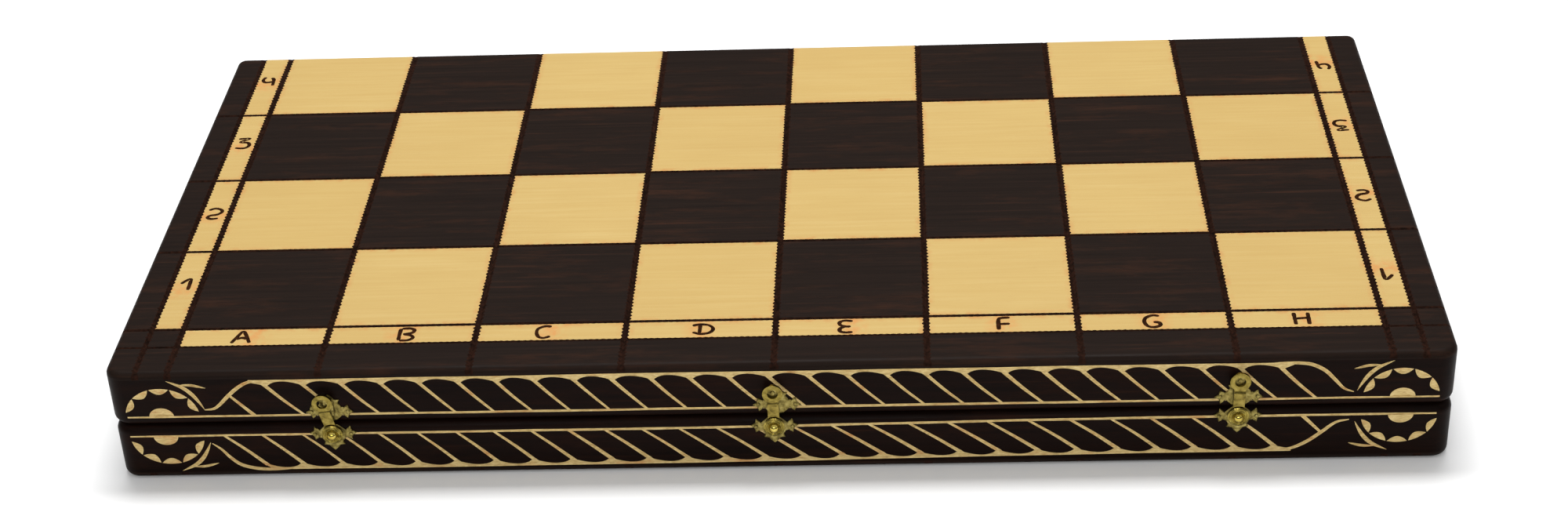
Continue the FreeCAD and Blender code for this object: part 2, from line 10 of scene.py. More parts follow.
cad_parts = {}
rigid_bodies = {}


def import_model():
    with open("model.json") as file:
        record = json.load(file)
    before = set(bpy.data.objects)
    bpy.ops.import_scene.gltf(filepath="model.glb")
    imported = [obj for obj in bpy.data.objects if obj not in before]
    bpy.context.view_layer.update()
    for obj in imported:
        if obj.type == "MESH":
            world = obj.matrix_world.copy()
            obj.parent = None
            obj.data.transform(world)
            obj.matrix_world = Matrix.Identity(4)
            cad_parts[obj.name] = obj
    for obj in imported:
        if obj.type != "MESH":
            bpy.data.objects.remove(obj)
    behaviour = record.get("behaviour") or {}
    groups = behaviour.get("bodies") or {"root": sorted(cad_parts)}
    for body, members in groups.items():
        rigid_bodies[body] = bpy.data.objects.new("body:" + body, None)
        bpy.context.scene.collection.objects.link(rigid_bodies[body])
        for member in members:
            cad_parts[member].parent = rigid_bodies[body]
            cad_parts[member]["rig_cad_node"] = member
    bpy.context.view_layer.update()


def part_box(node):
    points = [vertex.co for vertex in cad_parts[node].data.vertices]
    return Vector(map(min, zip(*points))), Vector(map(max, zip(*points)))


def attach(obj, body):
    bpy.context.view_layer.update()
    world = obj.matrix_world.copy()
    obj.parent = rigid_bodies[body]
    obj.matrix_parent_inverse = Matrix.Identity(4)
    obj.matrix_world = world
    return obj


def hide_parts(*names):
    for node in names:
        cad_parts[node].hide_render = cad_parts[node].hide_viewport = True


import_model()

# A folding wooden chess case. Lengths are millimetres in the row frame (+Z up, front towards -Y)
# until a mesh is made, and places come from the CAD nodes' boxes.
MM = 0.001
SQUARE, STRIP, FRONT_BORDER = 65.0, 14.0, 34.5
SQUARES_ACROSS, ROWS_PER_HALF = 8, 4
BOARD_ROUND, PART_ROUND = 3.0, 4.0
FRONT_RADIUS, BACK_RADIUS = 8.0, 4.5
SIDES = ("left", "middle", "right")
PLAIN, BURNED, LETTER, CARVED = range(4)
QUARTER = math.pi / 2


def span(node):
    """Lowest and highest corner of a CAD node, in millimetres."""
    low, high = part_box(node)
    return np.array(low) / MM, np.array(high) / MM


FRONT = span("upper_board")[0][1]
BACK = span("upper_board")[1][1]
HALF_WIDTH = span("upper_board")[1][0]
TOP = span("upper_board")[1][2]


def wander(position, size, seed=0.0):
    """A smooth pseudo-random number from -1 to 1 that changes over `size` along a line."""
    return noise.noise(Vector((position / size, seed, 0.37)))


def outline(text):
    """Points written as x,y with spaces between them."""
    return [tuple(float(number) for number in pair.split(",")) for pair in text.split()]


# ---- materials ----


def srgb(red, green, blue):
    """A colour given as 0-255 screen values, as linear RGBA."""
    shares = [c / 255 for c in (red, green, blue)]
    return tuple(s / 12.92 if s < 0.04045 else ((s + 0.055) / 1.055) ** 2.4 for s in shares) + (1.0,)


class Finish:
    """A Principled material, with short ways to add procedural nodes to it."""

    def __init__(self, name, **constants):
        self.material = bpy.data.materials.new(name)
        self.material.use_nodes = True
        self.tree = self.material.node_tree
        self.shader = self.tree.nodes["Principled BSDF"]
        for key, value in constants.items():
            title = key.replace("_", " ").title().replace("Ior", "IOR")
            self.shader.inputs[title].default_value = value
        self.object_coords = self.tree.nodes.new("ShaderNodeTexCoord").outputs["Object"]

    def add(self, kind, inputs, output=0, **settings):
        node = self.tree.nodes.new("ShaderNode" + kind)
        for key, value in settings.items():
            setattr(node, key, value)
        for key, value in inputs.items():
            self.feed(node.inputs[key], value)
        return node.outputs[output]

    def feed(self, socket, value):
        if isinstance(value, bpy.types.NodeSocket):
            self.tree.links.new(value, socket)
        else:
            socket.default_value = value

    def place(self, sizes, shift=(0.0, 0.0, 0.0)):
        """Object coordinates in which one unit is `sizes` millimetres along X, Y and Z."""
        scale = [1 / (size * MM) for size in sizes]
        return self.add("Mapping", {"Vector": self.object_coords, "Scale": scale, "Location": shift})

    def noise(self, sizes, detail=3.0, roughness=0.5, distortion=0.0, shift=(0.0, 0.0, 0.0)):
        vector = self.place(sizes, shift)
        inputs = {"Vector": vector, "Scale": 1.0, "Detail": detail, "Roughness": roughness}
        return self.add("TexNoise", {**inputs, "Distortion": distortion})

    def ramp(self, value, stops):
        node = self.tree.nodes.new("ShaderNodeValToRGB")
        node.color_ramp.elements.remove(node.color_ramp.elements[0])
        for number, (position, colour) in enumerate(stops):
            elements = node.color_ramp.elements
            element = elements[0] if number == 0 else elements.new(position)
            element.position = position
            element.color = colour
        self.feed(node.inputs[0], value)
        return node.outputs[0]

    def range(self, value, low, high, start=0.0, end=1.0):
        inputs = {"Value": value, "From Min": low, "From Max": high, "To Min": start, "To Max": end}
        return self.add("MapRange", inputs)

    def math(self, operation, first, second=0.0):
        return self.add("Math", {0: first, 1: second}, operation=operation)

    def mix(self, factor, first, second, blend="MIX"):
        inputs = {"Fac": factor, "Color1": first, "Color2": second}
        return self.add("MixRGB", inputs, blend_type=blend)

    def colour(self, value):
        self.feed(self.shader.inputs["Base Color"], value)

    def roughness(self, value):
        self.feed(self.shader.inputs["Roughness"], value)

    def bump(self, height, depth, strength=0.5, before=None):
        inputs = {"Height": height, "Distance": depth * MM, "Strength": strength}
        if before is not None:
            inputs["Normal"] = before
        normal = self.add("Bump", inputs)
        self.feed(self.shader.inputs["Normal"], normal)
        return normal


def lengthwise(axis, long, wide):
    """Sizes along X, Y and Z of a figure drawn out along one axis."""
    sizes = [wide] * 3
    sizes["xyz".index(axis)] = long
    return tuple(sizes)


def grid_distance(finish, axis):
    """Distance in metres from a point of the board to the nearest line of the squares' grid."""
    split = finish.add("SeparateXYZ", {0: finish.object_coords}, output="xyz".index(axis))
    if axis == "y":
        split = finish.math("SUBTRACT", split, (FRONT + FRONT_BORDER) * MM)
    return finish.math("PINGPONG", split, SQUARE / 2 * MM)


def stained_wood(name, axis, shades, gloss, patches, shine):
    """Dark stained and lacquered wood: streaks along the grain, worn reddish patches, open pores."""
    finish = Finish(name, roughness=gloss, specular_ior_level=shine)
    streaks = finish.noise(lengthwise(axis, 90, 2.4), detail=6, roughness=0.62, distortion=0.4)
    deep, middle, worn = shades
    base = finish.ramp(streaks, [(0.3, deep), (0.62, middle), (0.85, worn)])
    cloud = finish.noise(lengthwise(axis, 48, 9), detail=6, roughness=0.68, shift=(3.1, 1.7, 0.4))
    base = finish.mix(finish.range(cloud, 0.52, 0.75, 0, patches), base, worn)
    pores = finish.noise(lengthwise(axis, 7, 0.35), detail=2, roughness=0.5)
    open_pores = finish.range(pores, 0.6, 0.72)
    finish.colour(finish.mix(open_pores, base, deep))
    finish.roughness(finish.range(cloud, 0.3, 0.7, gloss - 0.07, gloss + 0.1))
    finish.bump(finish.mix(0.5, streaks, open_pores, "SUBTRACT"), 0.12, 0.35)
    return finish.material


def light_wood(name, mark_axis=None):
    """Pale lacquered wood with faint grain and flecks, scorched orange beside what was burned."""
    finish = Finish(
        name, roughness=0.42, specular_ior_level=0.22, coat_weight=0.03, coat_roughness=0.2
    )
    grain = finish.noise((70, 2.2, 2.2), detail=5, roughness=0.6, distortion=0.7)
    shades = [(0.2, srgb(207, 174, 104)), (0.5, srgb(213, 182, 112)), (0.8, srgb(219, 191, 124))]
    base = finish.ramp(grain, shades)
    cloud = finish.noise((45, 30, 30), detail=3, roughness=0.5, shift=(7.7, 2.0, 0.0))
    base = finish.mix(finish.range(cloud, 0.35, 0.7, 0, 0.35), base, srgb(205, 172, 104))
    flecks = finish.noise((5.5, 0.5, 0.5), detail=2, roughness=0.5)
    base = finish.mix(finish.range(flecks, 0.66, 0.74, 0, 0.4), base, srgb(196, 156, 92))
    metres = finish.place((1000, 1000, 1000), (0, -(FRONT + FRONT_BORDER) * MM, 0))
    cell = finish.add("VectorMath", {0: metres, 1: (SQUARE * MM,) * 3}, operation="SNAP")
    tone = finish.add("TexWhiteNoise", {"Vector": cell}, noise_dimensions="3D")
    base = finish.mix(finish.range(tone, 0, 1, 0, 0.22), base, srgb(202, 166, 92))
    mottling = finish.noise((6, 6, 6), detail=4, roughness=0.6)
    across, along = grid_distance(finish, "x"), grid_distance(finish, "y")
    near = finish.range(finish.math("MINIMUM", across, along), 0.0042, 0.0011)
    edge = finish.math("MULTIPLY", near, finish.range(mottling, 0.42, 0.68))
    base = finish.mix(finish.math("MULTIPLY", edge, 0.75), base, srgb(206, 138, 74))
    if mark_axis:
        mottling = finish.noise((3.5, 3.5, 3.5), detail=3, roughness=0.6)
        middle = finish.range(grid_distance(finish, mark_axis), 0.0235, 0.0310)
        halo = finish.math("MULTIPLY", middle, finish.range(mottling, 0.35, 0.65))
        base = finish.mix(finish.math("MULTIPLY", halo, 0.7), base, srgb(222, 148, 80))
    finish.colour(finish.mix(1.0, base, (0.79, 0.78, 0.79, 1), "MULTIPLY"))
    finish.bump(grain, 0.03, 0.15)
    return finish.material


def burned_wood(name, colour, scorched):
    """The charred skin of a groove or letter that a hot tool pressed in."""
    finish = Finish(name, roughness=0.8, specular_ior_level=0.02)
    ash = finish.noise((2.2, 2.2, 2.2), detail=4, roughness=0.65)
    finish.colour(finish.ramp(ash, [(0.35, colour), (0.72, scorched)]))
    finish.bump(ash, 0.2, 0.4)
    return finish.material


def carved_wood(name):
    """Bare wood shown by the gouge through the stain, browned here and there at its edges."""
    finish = Finish(name, roughness=0.55, specular_ior_level=0.25)
    tool = finish.noise((3.0, 3.0, 0.8), detail=4, roughness=0.6, distortion=0.5)
    shades = [(0.25, srgb(170, 138, 84)), (0.5, srgb(206, 180, 120)), (0.75, srgb(226, 204, 146))]
    base = finish.ramp(tool, shades)
    burn = finish.noise((16, 5, 5), detail=5, roughness=0.65, shift=(1.3, 0.2, 5.0))
    finish.colour(finish.mix(finish.range(burn, 0.55, 0.74, 0, 0.75), base, srgb(188, 122, 62)))
    finish.bump(tool, 0.12, 0.5)
    return finish.material


def turned_wood(name, shades, gloss):
    """Lacquered boxwood or stained wood of the chessmen: fine grain along Y."""
    finish = Finish(name, roughness=gloss, coat_weight=0.5, coat_roughness=0.12)
    grain = finish.noise((2.0, 38, 2.0), detail=5, roughness=0.6, distortion=0.5)
    base = finish.ramp(grain, [(0.3, shades[0]), (0.55, shades[1]), (0.8, shades[2])])
    rings = finish.noise((9, 60, 9), detail=2, roughness=0.4)
    finish.colour(finish.mix(finish.range(rings, 0.45, 0.7, 0, 0.4), base, shades[0]))
    finish.bump(grain, 0.05, 0.3)
    return finish.material


def tray_wood(name):
    """Bare light wood of the dividers."""
    finish = Finish(name, roughness=0.55)
    grain = finish.noise((40, 40, 1.6), detail=6, roughness=0.62, distortion=0.6)
    shades = [(0.25, srgb(176, 134, 84)), (0.55, srgb(206, 168, 112)), (0.8, srgb(222, 190, 136))]
    finish.colour(finish.ramp(grain, shades))
    finish.bump(grain, 0.15, 0.4)
    return finish.material


def brass(name, bright, dull, stain, rough, dents):
    """Pressed brass: a thin brown patina in the hollows and clouds, fine scratches, dents."""
    finish = Finish(name, metallic=1.0, roughness=rough)
    patina = finish.noise((2.6, 2.6, 2.6), detail=6, roughness=0.65, distortion=0.3)
    finish.colour(finish.ramp(patina, [(0.32, stain), (0.5, dull), (0.72, bright)]))
    finish.roughness(finish.range(patina, 0.3, 0.75, rough + 0.14, rough - 0.06))
    scratches = finish.noise((0.3, 0.3, 2.4), detail=3, roughness=0.6)
    first = finish.bump(scratches, 0.02, 0.35)
    finish.bump(finish.noise((0.9, 0.9, 0.9), detail=3), 0.12, dents, before=first)
    return finish.material


def felt_cloth(name, deep, fresh):
    """Dense pressed wool felt: short crossing fibres and a soft bloom of loose ones."""
    finish = Finish(name, roughness=0.95, sheen_weight=0.35, sheen_roughness=0.45)
    fibres = finish.noise((0.5, 0.5, 0.5), detail=6, roughness=0.75, distortion=1.4)
    cloud = finish.noise((26, 26, 26), detail=3, roughness=0.55)
    base = finish.ramp(fibres, [(0.3, deep), (0.7, fresh)])
    finish.colour(finish.mix(finish.range(cloud, 0.35, 0.7, 0, 0.35), base, deep))
    finish.bump(fibres, 0.3, 0.7)
    return finish.material


DARK_FRONT = (srgb(13, 6, 4), srgb(22, 10, 6), srgb(50, 25, 13))
DARK_SQUARE = (srgb(23, 15, 11), srgb(31, 21, 16), srgb(66, 38, 24))
LIGHT_MEN = (srgb(206, 160, 96), srgb(226, 186, 122), srgb(238, 204, 146))
DARK_MEN = (srgb(38, 22, 14), srgb(58, 33, 20), srgb(84, 48, 28))
# Each brass: its bright, dull and stained colours, its roughness, and how dented it is.
LATCH_BRASS = (srgb(174, 160, 98), srgb(132, 118, 64), srgb(80, 70, 36), 0.36, 0.5)
ARM_BRASS = (srgb(160, 143, 76), srgb(130, 114, 54), srgb(84, 72, 32), 0.14, 0.1)
CAP_BRASS = (srgb(170, 154, 80), srgb(140, 124, 58), srgb(92, 80, 36), 0.18, 0.06)
BRIGHT_BRASS = (srgb(212, 194, 104), srgb(186, 164, 76), srgb(140, 120, 50), 0.1, 0.0)
HINGE_BRASS = (srgb(206, 180, 104), srgb(170, 144, 76), srgb(112, 90, 46), 0.3, 0.5)
FINISHES = {
    "carved_front": stained_wood("front stain", "x", DARK_FRONT, 0.42, 0.3, 0.04),
    "side_stain": stained_wood("side stain", "y", DARK_FRONT, 0.42, 0.3, 0.04),
    "dark_square": stained_wood("dark squares", "x", DARK_SQUARE, 0.5, 0.4, 0.05),
    "light_square": light_wood("light squares"),
    "letter_strip": light_wood("letter strip", "x"),
    "number_strip": light_wood("number strip", "y"),
    "groove": burned_wood("burned groove", srgb(22, 13, 9), srgb(50, 29, 21)),
    "glyph": burned_wood("burned letter", srgb(28, 15, 8), srgb(66, 36, 18)),
    "carved": carved_wood("bare carved wood"),
    "tray_wood": tray_wood("tray wood"),
    "lining": felt_cloth("green felt", srgb(18, 66, 38), srgb(34, 96, 56)),
    "base_felt": felt_cloth("green baize", srgb(14, 56, 34), srgb(30, 84, 52)),
    "light_chessmen": turned_wood("light chessmen", LIGHT_MEN, 0.3),
    "dark_chessmen": turned_wood("dark chessmen", DARK_MEN, 0.3),
    "latch_brass": brass("latch brass", *LATCH_BRASS),
    "arm_brass": brass("arm brass", *ARM_BRASS),
    "cap_brass": brass("cap brass", *CAP_BRASS),
    "bright_brass": brass("bright brass", *BRIGHT_BRASS),
    "hinge_brass": brass("hinge brass", *HINGE_BRASS),
}

# ---- meshes ----


def make_piece(name, points, faces, finishes, body, node, picks=None, sharp=50):
    """A closed piece from millimetre points; picks gives each face its place in finishes."""
    mesh = bpy.data.meshes.new(name)
    mesh.from_pydata([[c * MM for c in p] for p in points], [], [list(f) for f in faces])
    if picks is not None:
        mesh.polygons.foreach_set("material_index", np.array(picks, np.int32))
    shaped = bmesh.new()
    shaped.from_mesh(mesh)
    loose = [v for v in shaped.verts if not v.link_faces]
    bmesh.ops.delete(shaped, geom=loose, context="VERTS")
    bmesh.ops.remove_doubles(shaped, verts=shaped.verts, dist=1e-7)
    bmesh.ops.recalc_face_normals(shaped, faces=shaped.faces)
    limit = math.radians(sharp)
    for face in shaped.faces:
        face.smooth = True
    for edge in shaped.edges:
        pair = edge.link_faces
        if len(pair) == 2:
            differs = pair[0].material_index != pair[1].material_index
            edge.smooth = not differs and edge.calc_face_angle(0) < limit
    shaped.to_mesh(mesh)
    shaped.free()
    for finish in finishes:
        mesh.materials.append(FINISHES[finish])
    return settle(name, mesh, body, node)


def settle(name, mesh, body, node):
    """The mesh as a piece of a body, in place of a CAD node."""
    piece = bpy.data.objects.new(name, mesh)
    bpy.context.scene.collection.objects.link(piece)
    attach(piece, body)
    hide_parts(node)
    return piece


def tree_of(points):
    """A search tree of flat points."""
    tree = kdtree.KDTree(len(points))
    for number, point in enumerate(points):
        tree.insert((point[0], point[1], 0), number)
    tree.balance()
    return tree


def sides_of(triangles):
    """Each triangle's three edges, as sorted pairs of corners."""
    return [tuple(sorted(e)) for t in triangles for e in ((t[0], t[1]), (t[1], t[2]), (t[2], t[0]))]


def smooth_path(points, spacing):
    """A Catmull-Rom curve through the points, sampled about every `spacing` millimetres."""
    points = np.array(points, float)
    ends = np.vstack([2 * points[0] - points[1], points, 2 * points[-1] - points[-2]])
    path = [points[0]]
    for before, start, end, after in zip(ends, ends[1:], ends[2:], ends[3:]):
        count = max(2, int(np.hypot(*(end - start)[:2]) / spacing))
        for step in range(1, count + 1):
            t = step / count
            bend = 2 * before - 5 * start + 4 * end - after
            twist = 3 * (start - end) + after - before
            path.append(start + 0.5 * t * ((end - before) + t * (bend + t * twist)))
    return np.array(path)


class Carving:
    """A flat pattern of regions cut into a surface; where they overlap, the highest kind wins."""

    def __init__(self, ring):
        self.points, self.edges, self.regions, self.kinds = [], [], [], []
        self.region(ring, PLAIN)

    def region(self, ring, kind):
        ring = [tuple(p) for p in ring]
        ring = [p for p, q in zip(ring, ring[1:] + ring[:1]) if math.dist(p, q) > 1e-3]
        turn = sum(p[0] * q[1] - q[0] * p[1] for p, q in zip(ring, ring[1:] + ring[:1]))
        start = len(self.points)
        self.points += [Vector(p) for p in (ring if turn > 0 else ring[::-1])]
        self.regions.append(list(range(start, start + len(ring))))
        self.kinds.append(kind)

    def line(self, path):
        start = len(self.points)
        self.points += [Vector(p) for p in path]
        self.edges += [(start + i, start + i + 1) for i in range(len(path) - 1)]

    def stroke(self, path, half_width, kind, blunt=False):
        """A cut that follows a path; half_width gives its half-width from the share done."""
        path = np.array(path, float)
        steps = np.hypot(*np.diff(path, axis=0).T)
        done = np.concatenate([[0], np.cumsum(steps)])
        length = done[-1]
        wide = np.array([half_width(s / length) for s in done])
        if blunt:
            from_end = np.minimum(done, length - done) / wide.max() + 0.12
            wide = wide * np.sqrt(1 - (1 - np.minimum(from_end, 1)) ** 2)
        along = np.gradient(path, axis=0)
        along /= np.maximum(np.hypot(*along.T), 1e-9)[:, None]
        side = np.column_stack([-along[:, 1], along[:, 0]]) * wide[:, None]
        self.region(np.vstack([path + side, (path - side)[::-1]]), kind)
        self.line(path[1:-1])

    def solve(self, slopes, caps):
        """Points, triangles, their kinds, and how deep each point is cut."""
        made = delaunay_2d_cdt(self.points, self.edges, self.regions, 0, 2e-3)
        points, faces, owners = np.array(made[0]), made[2], made[5]
        kept = [(f, max(self.kinds[o] for o in own)) for f, own in zip(faces, owners) if 0 in own]
        triangles = np.array([face for face, _ in kept])
        kinds = np.array([kind for _, kind in kept])
        kind_of = np.zeros(len(points), int)
        for corner in range(3):
            np.maximum.at(kind_of, triangles[:, corner], kinds)
        plain = triangles[kinds == PLAIN]
        on_plain = np.zeros(len(points), bool)
        on_plain[plain.ravel()] = True
        depths = np.zeros(len(points))
        inside = np.nonzero((kind_of > PLAIN) & ~on_plain)[0]
        if len(inside) == 0:
            return points, triangles, kinds, depths
        samples = []
        for start, end in set(sides_of(plain)) & set(sides_of(triangles[kinds > PLAIN])):
            a, b = points[start], points[end]
            count = max(1, int(math.dist(a, b) / 0.4))
            samples += [a + (b - a) * i / count for i in range(count + 1)]
        tree = tree_of(samples)
        for index in inside:
            distance = tree.find((points[index][0], points[index][1], 0))[2]
            kind = kind_of[index]
            depths[index] = min(caps[kind], slopes[kind] * distance)
        return points, triangles, kinds, depths


# How steep the walls of each kind of cut are, and how deep it may go.
SLOPES = {BURNED: 1.05, LETTER: 0.8, CARVED: 0.75}
CAPS = {BURNED: 1.15, LETTER: 0.5, CARVED: 0.75}


def filled_outline(ring, across, up, margin):
    """Points and triangles that fill an outline, and a function for the distance to its rim."""
    cut = Carving(ring)
    tree = tree_of(ring)

    def to_rim(x, z):
        return tree.find((x, z, 0))[2]

    cut.points += [Vector((x, z)) for x in across for z in up if to_rim(x, z) > margin]
    flat, triangles, _, _ = cut.solve({}, {})
    return flat, triangles, to_rim


def both_faces(triangles, count):
    """A front, a back made of the `count` points that follow, and the wall between them."""
    faces = [tuple(t) for t in triangles] + [tuple(count + i for i in t[::-1]) for t in triangles]
    times = {}
    for edge in sides_of(triangles):
        times[edge] = times.get(edge, 0) + 1
    return faces + [(a, b, b + count, a + count) for (a, b), n in times.items() if n == 1]


# ---- the playing surfaces ----

# Each character's strokes, as points in millimetres from its own middle.
GLYPHS = {
    "A": ["-4.2,-4.5 -2.6,-.2 -.6,4.4 1.6,1 3.8,-4.5", "-2.6,-1.4 0,-.4 2.4,-1.4"],
    "B": [
        "-3,4.6 -3.1,0 -3,-4.6",
        "-2.6,4.6 1.2,4.6 3,3.2 2.2,1.2 -1.6,.2",
        "-1.4,.1 1.9,-.8 3.1,-2.8 1,-4.6 -2.6,-4.7",
    ],
    "C": ["3,4 .3,4.5 -2.6,2.8 -3.2,-.2 -2.1,-3.6 .2,-4.7 3,-3.4"],
    "D": ["-4.6,2.9 -1,3.7 2.6,2.9 4.5,0 2.9,-2.9 -.8,-3.7 -4.4,-2.3", "-1.2,3 -1.3,-2.8"],
    "E": [
        "3,4.2 -.4,4.7 -2.6,3.5 -2.4,1.3 -.2,.1 2.2,0",
        "-.4,.1 -2.5,-1.6 -2.3,-3.8 0,-4.6 3,-4.3",
    ],
    "F": ["2.8,4.8 -.6,4.6 -2.2,3.2 -2.3,-4.6", "-2.1,-.2 2.6,0"],
    "G": ["3.2,3.9 .3,4.5 -2.7,2.6 -3.5,-.6 -2.2,-3.9 .5,-4.7 3,-3.4 2.8,-1.3 .3,-.6"],
    "H": ["-3,4.6 -3,-4.6", "3,4.6 2.7,-4.6", "-3,0 2.9,.5"],
    "1": ["-2.6,.8 -.6,3.6 1,4.6 1.4,2.2 1.6,-4.5"],
    "2": ["-3.6,3.2 -.9,4.7 2,3.6 2.9,1.5 1.2,-.8 -2.1,-1.8 -3,-3.6 -1,-4.8 2.2,-4.3"],
    "3": ["-3.4,4.6 1.9,4.8 -1.9,1.5 1.6,.7 3,-1.6 2,-4.1 -.4,-4.9 -3.6,-4.3"],
    "4": ["-2.4,4.4 -3.4,1.4 -2.2,-1.1 .2,-1.2 2.2,-.2", ".6,3.6 2,1.6 2.5,-4.8"],
    "5": ["3,4.5 -2.2,4.4 -2.6,1 1.4,1.2 3,-1.4 1.2,-4.4 -3,-4.3"],
    "6": ["2.4,4.5 -1.2,2.8 -2.9,-1.2 -1.4,-4.4 1.7,-4.4 2.9,-2 1,0 -2,-.8"],
    "7": ["-3,4.1 0,4.5 2.9,4.3 .9,.2 -.6,-4.6", "-1.4,0 2.6,.4"],
    "8": ["2.4,3.4 0,4.7 -2.3,3.1 0,.4 2.8,-2.2 0,-4.7 -2.8,-2.4 0,.3 2.5,3.2"],
}
GLYPH_HALF_WIDTH = 0.9
# How far off its square's middle the hand set each letter, and each figure on the two sides.
LETTER_DRIFT = (-5.0, 2.0, -3.0, 1.0, -2.2, 0.8, -0.6, -2.0)
NUMBER_DRIFT = {-1: (4.5, 1.8, 4.0, 4.0), 1: (-4.8, -2.3, -0.8, -4.0)}
# Half-width and tooth height of each kind of groove.
COLUMN_GROOVE, END_GROOVE = (1.15, 0.85), (0.95, 0.85)
ROW_GROOVE, STRIP_GROOVE = (0.92, 0.15), (0.6, 0.35)
TOOTH_PITCH = 2.6


def rounded_outline(inset):
    """The board's plan, from the right front corner round, moved inward by `inset`."""
    ring, steps = [], 8
    corners = (
        (1, FRONT, FRONT_RADIUS, -90), (1, BACK, BACK_RADIUS, 0),
        (-1, BACK, BACK_RADIUS, 90), (-1, FRONT, FRONT_RADIUS, 180),
    )
    for sign, edge, radius, start in corners:
        inward = 1 if edge == FRONT else -1
        middle = (sign * (HALF_WIDTH - radius), edge + inward * radius)
        for step in range(steps + 1):
            angle = math.radians(start + 90 * step / steps)
            reach = radius - inset
            ring.append((middle[0] + reach * math.cos(angle), middle[1] + reach * math.sin(angle)))
    return ring


def inside_outline(x, y):
    """Distance of a point of the board from the board's outline."""
    to_side = HALF_WIDTH - abs(x)
    near_front = y < (FRONT + BACK) / 2
    to_edge = y - FRONT if near_front else BACK - y
    radius = FRONT_RADIUS if near_front else BACK_RADIUS
    if to_side < radius and to_edge < radius:
        return radius - math.hypot(radius - to_side, radius - to_edge)
    return min(to_side, to_edge)


def toothed(start, end, place, half_width, tooth):
    """The outline of a groove pressed with a spiked wheel, as (along, across) points."""
    count = int((end - start) / TOOTH_PITCH)
    sides = []
    for sign, seed in ((1, place), (-1, place + 0.5)):
        side = []
        for number in range(count * 2 + 1):
            along = start + (end - start) * number / (count * 2)
            out = tooth * (0.8 + 0.5 * wander(along, 1.9, seed)) if number % 2 else 0.0
            side.append((along, place + sign * (half_width + out)))
        sides.append(side)
    return sides[0] + sides[1][::-1]


def press_grooves(cut):
    """The burned grid: wide toothed grooves along Y, narrow ones along X."""
    reach = SQUARES_ACROSS // 2 * SQUARE
    columns = [n * SQUARE for n in range(-SQUARES_ACROSS // 2, SQUARES_ACROSS // 2 + 1)]
    low, high = FRONT - 1, BACK + 1
    for column in columns + [-reach - STRIP, reach + STRIP]:
        groove = COLUMN_GROOVE if abs(column) <= reach else END_GROOVE
        cut.region([(x, y) for y, x in toothed(low, high, column, *groove)], BURNED)
        cut.line([(column, low), (column, high)])
    rows = [FRONT + FRONT_BORDER + n * SQUARE for n in range(ROWS_PER_HALF)]
    low, high = -HALF_WIDTH - 1, HALF_WIDTH + 1
    for row in rows + [FRONT + FRONT_BORDER - STRIP]:
        groove = ROW_GROOVE if row in rows else STRIP_GROOVE
        cut.region(toothed(low, high, row, *groove), BURNED)
        cut.line([(low, row), (high, row)])


def burn_glyphs(cut, upper):
    """Files along the front edge and ranks at both sides, the right ones upside down."""
    strip_middle = FRONT + FRONT_BORDER - STRIP / 2
    for number, letter in enumerate("ABCDEFGH"):
        x = (number + 0.5 - SQUARES_ACROSS / 2) * SQUARE + LETTER_DRIFT[number]
        glyph(cut, letter, x, strip_middle, 1, 1)
    for place in range(ROWS_PER_HALF):
        rank = str(place + 1 if upper else 2 * ROWS_PER_HALF - place)
        for side in (-1, 1):
            x = side * (SQUARES_ACROSS / 2 * SQUARE + STRIP / 2)
            y = FRONT + FRONT_BORDER + (place + 0.5) * SQUARE + NUMBER_DRIFT[side][place]
            turned = -side
            glyph(cut, rank, x, y, turned, turned if upper else -turned)


def glyph(cut, character, x, y, turn_x, turn_y):
    """One character's strokes, a little uneven in width, turned by the two signs."""
    for number, path in enumerate(GLYPHS[character]):
        points = [(x + turn_x * gx, y + turn_y * gy) for gx, gy in smooth_path(outline(path), 0.5)]

        def half_width(share, seed=x + number):
            return GLYPH_HALF_WIDTH * (1 + 0.22 * wander(share * 9, 1.5, seed))

        cut.stroke(points, half_width, LETTER, blunt=True)


BOARD_FINISHES = ["dark_square", "light_square", "letter_strip", "number_strip", "groove", "glyph"]


def square_finish(x, y, upper):
    """The place in BOARD_FINISHES of a point of the plain surface."""
    along = y - FRONT - FRONT_BORDER
    reach = SQUARES_ACROSS / 2 * SQUARE
    column = math.floor((x + reach) / SQUARE)
    if abs(x) < reach and along > 0:
        place = int(along // SQUARE)
        rank = place if upper else 2 * ROWS_PER_HALF - 1 - place
        return 1 if (column + rank) % 2 == 1 else 0
    if abs(x) < reach and -STRIP < along:
        return 2
    if reach < abs(x) < reach + STRIP and along > 0:
        return 3
    return 0


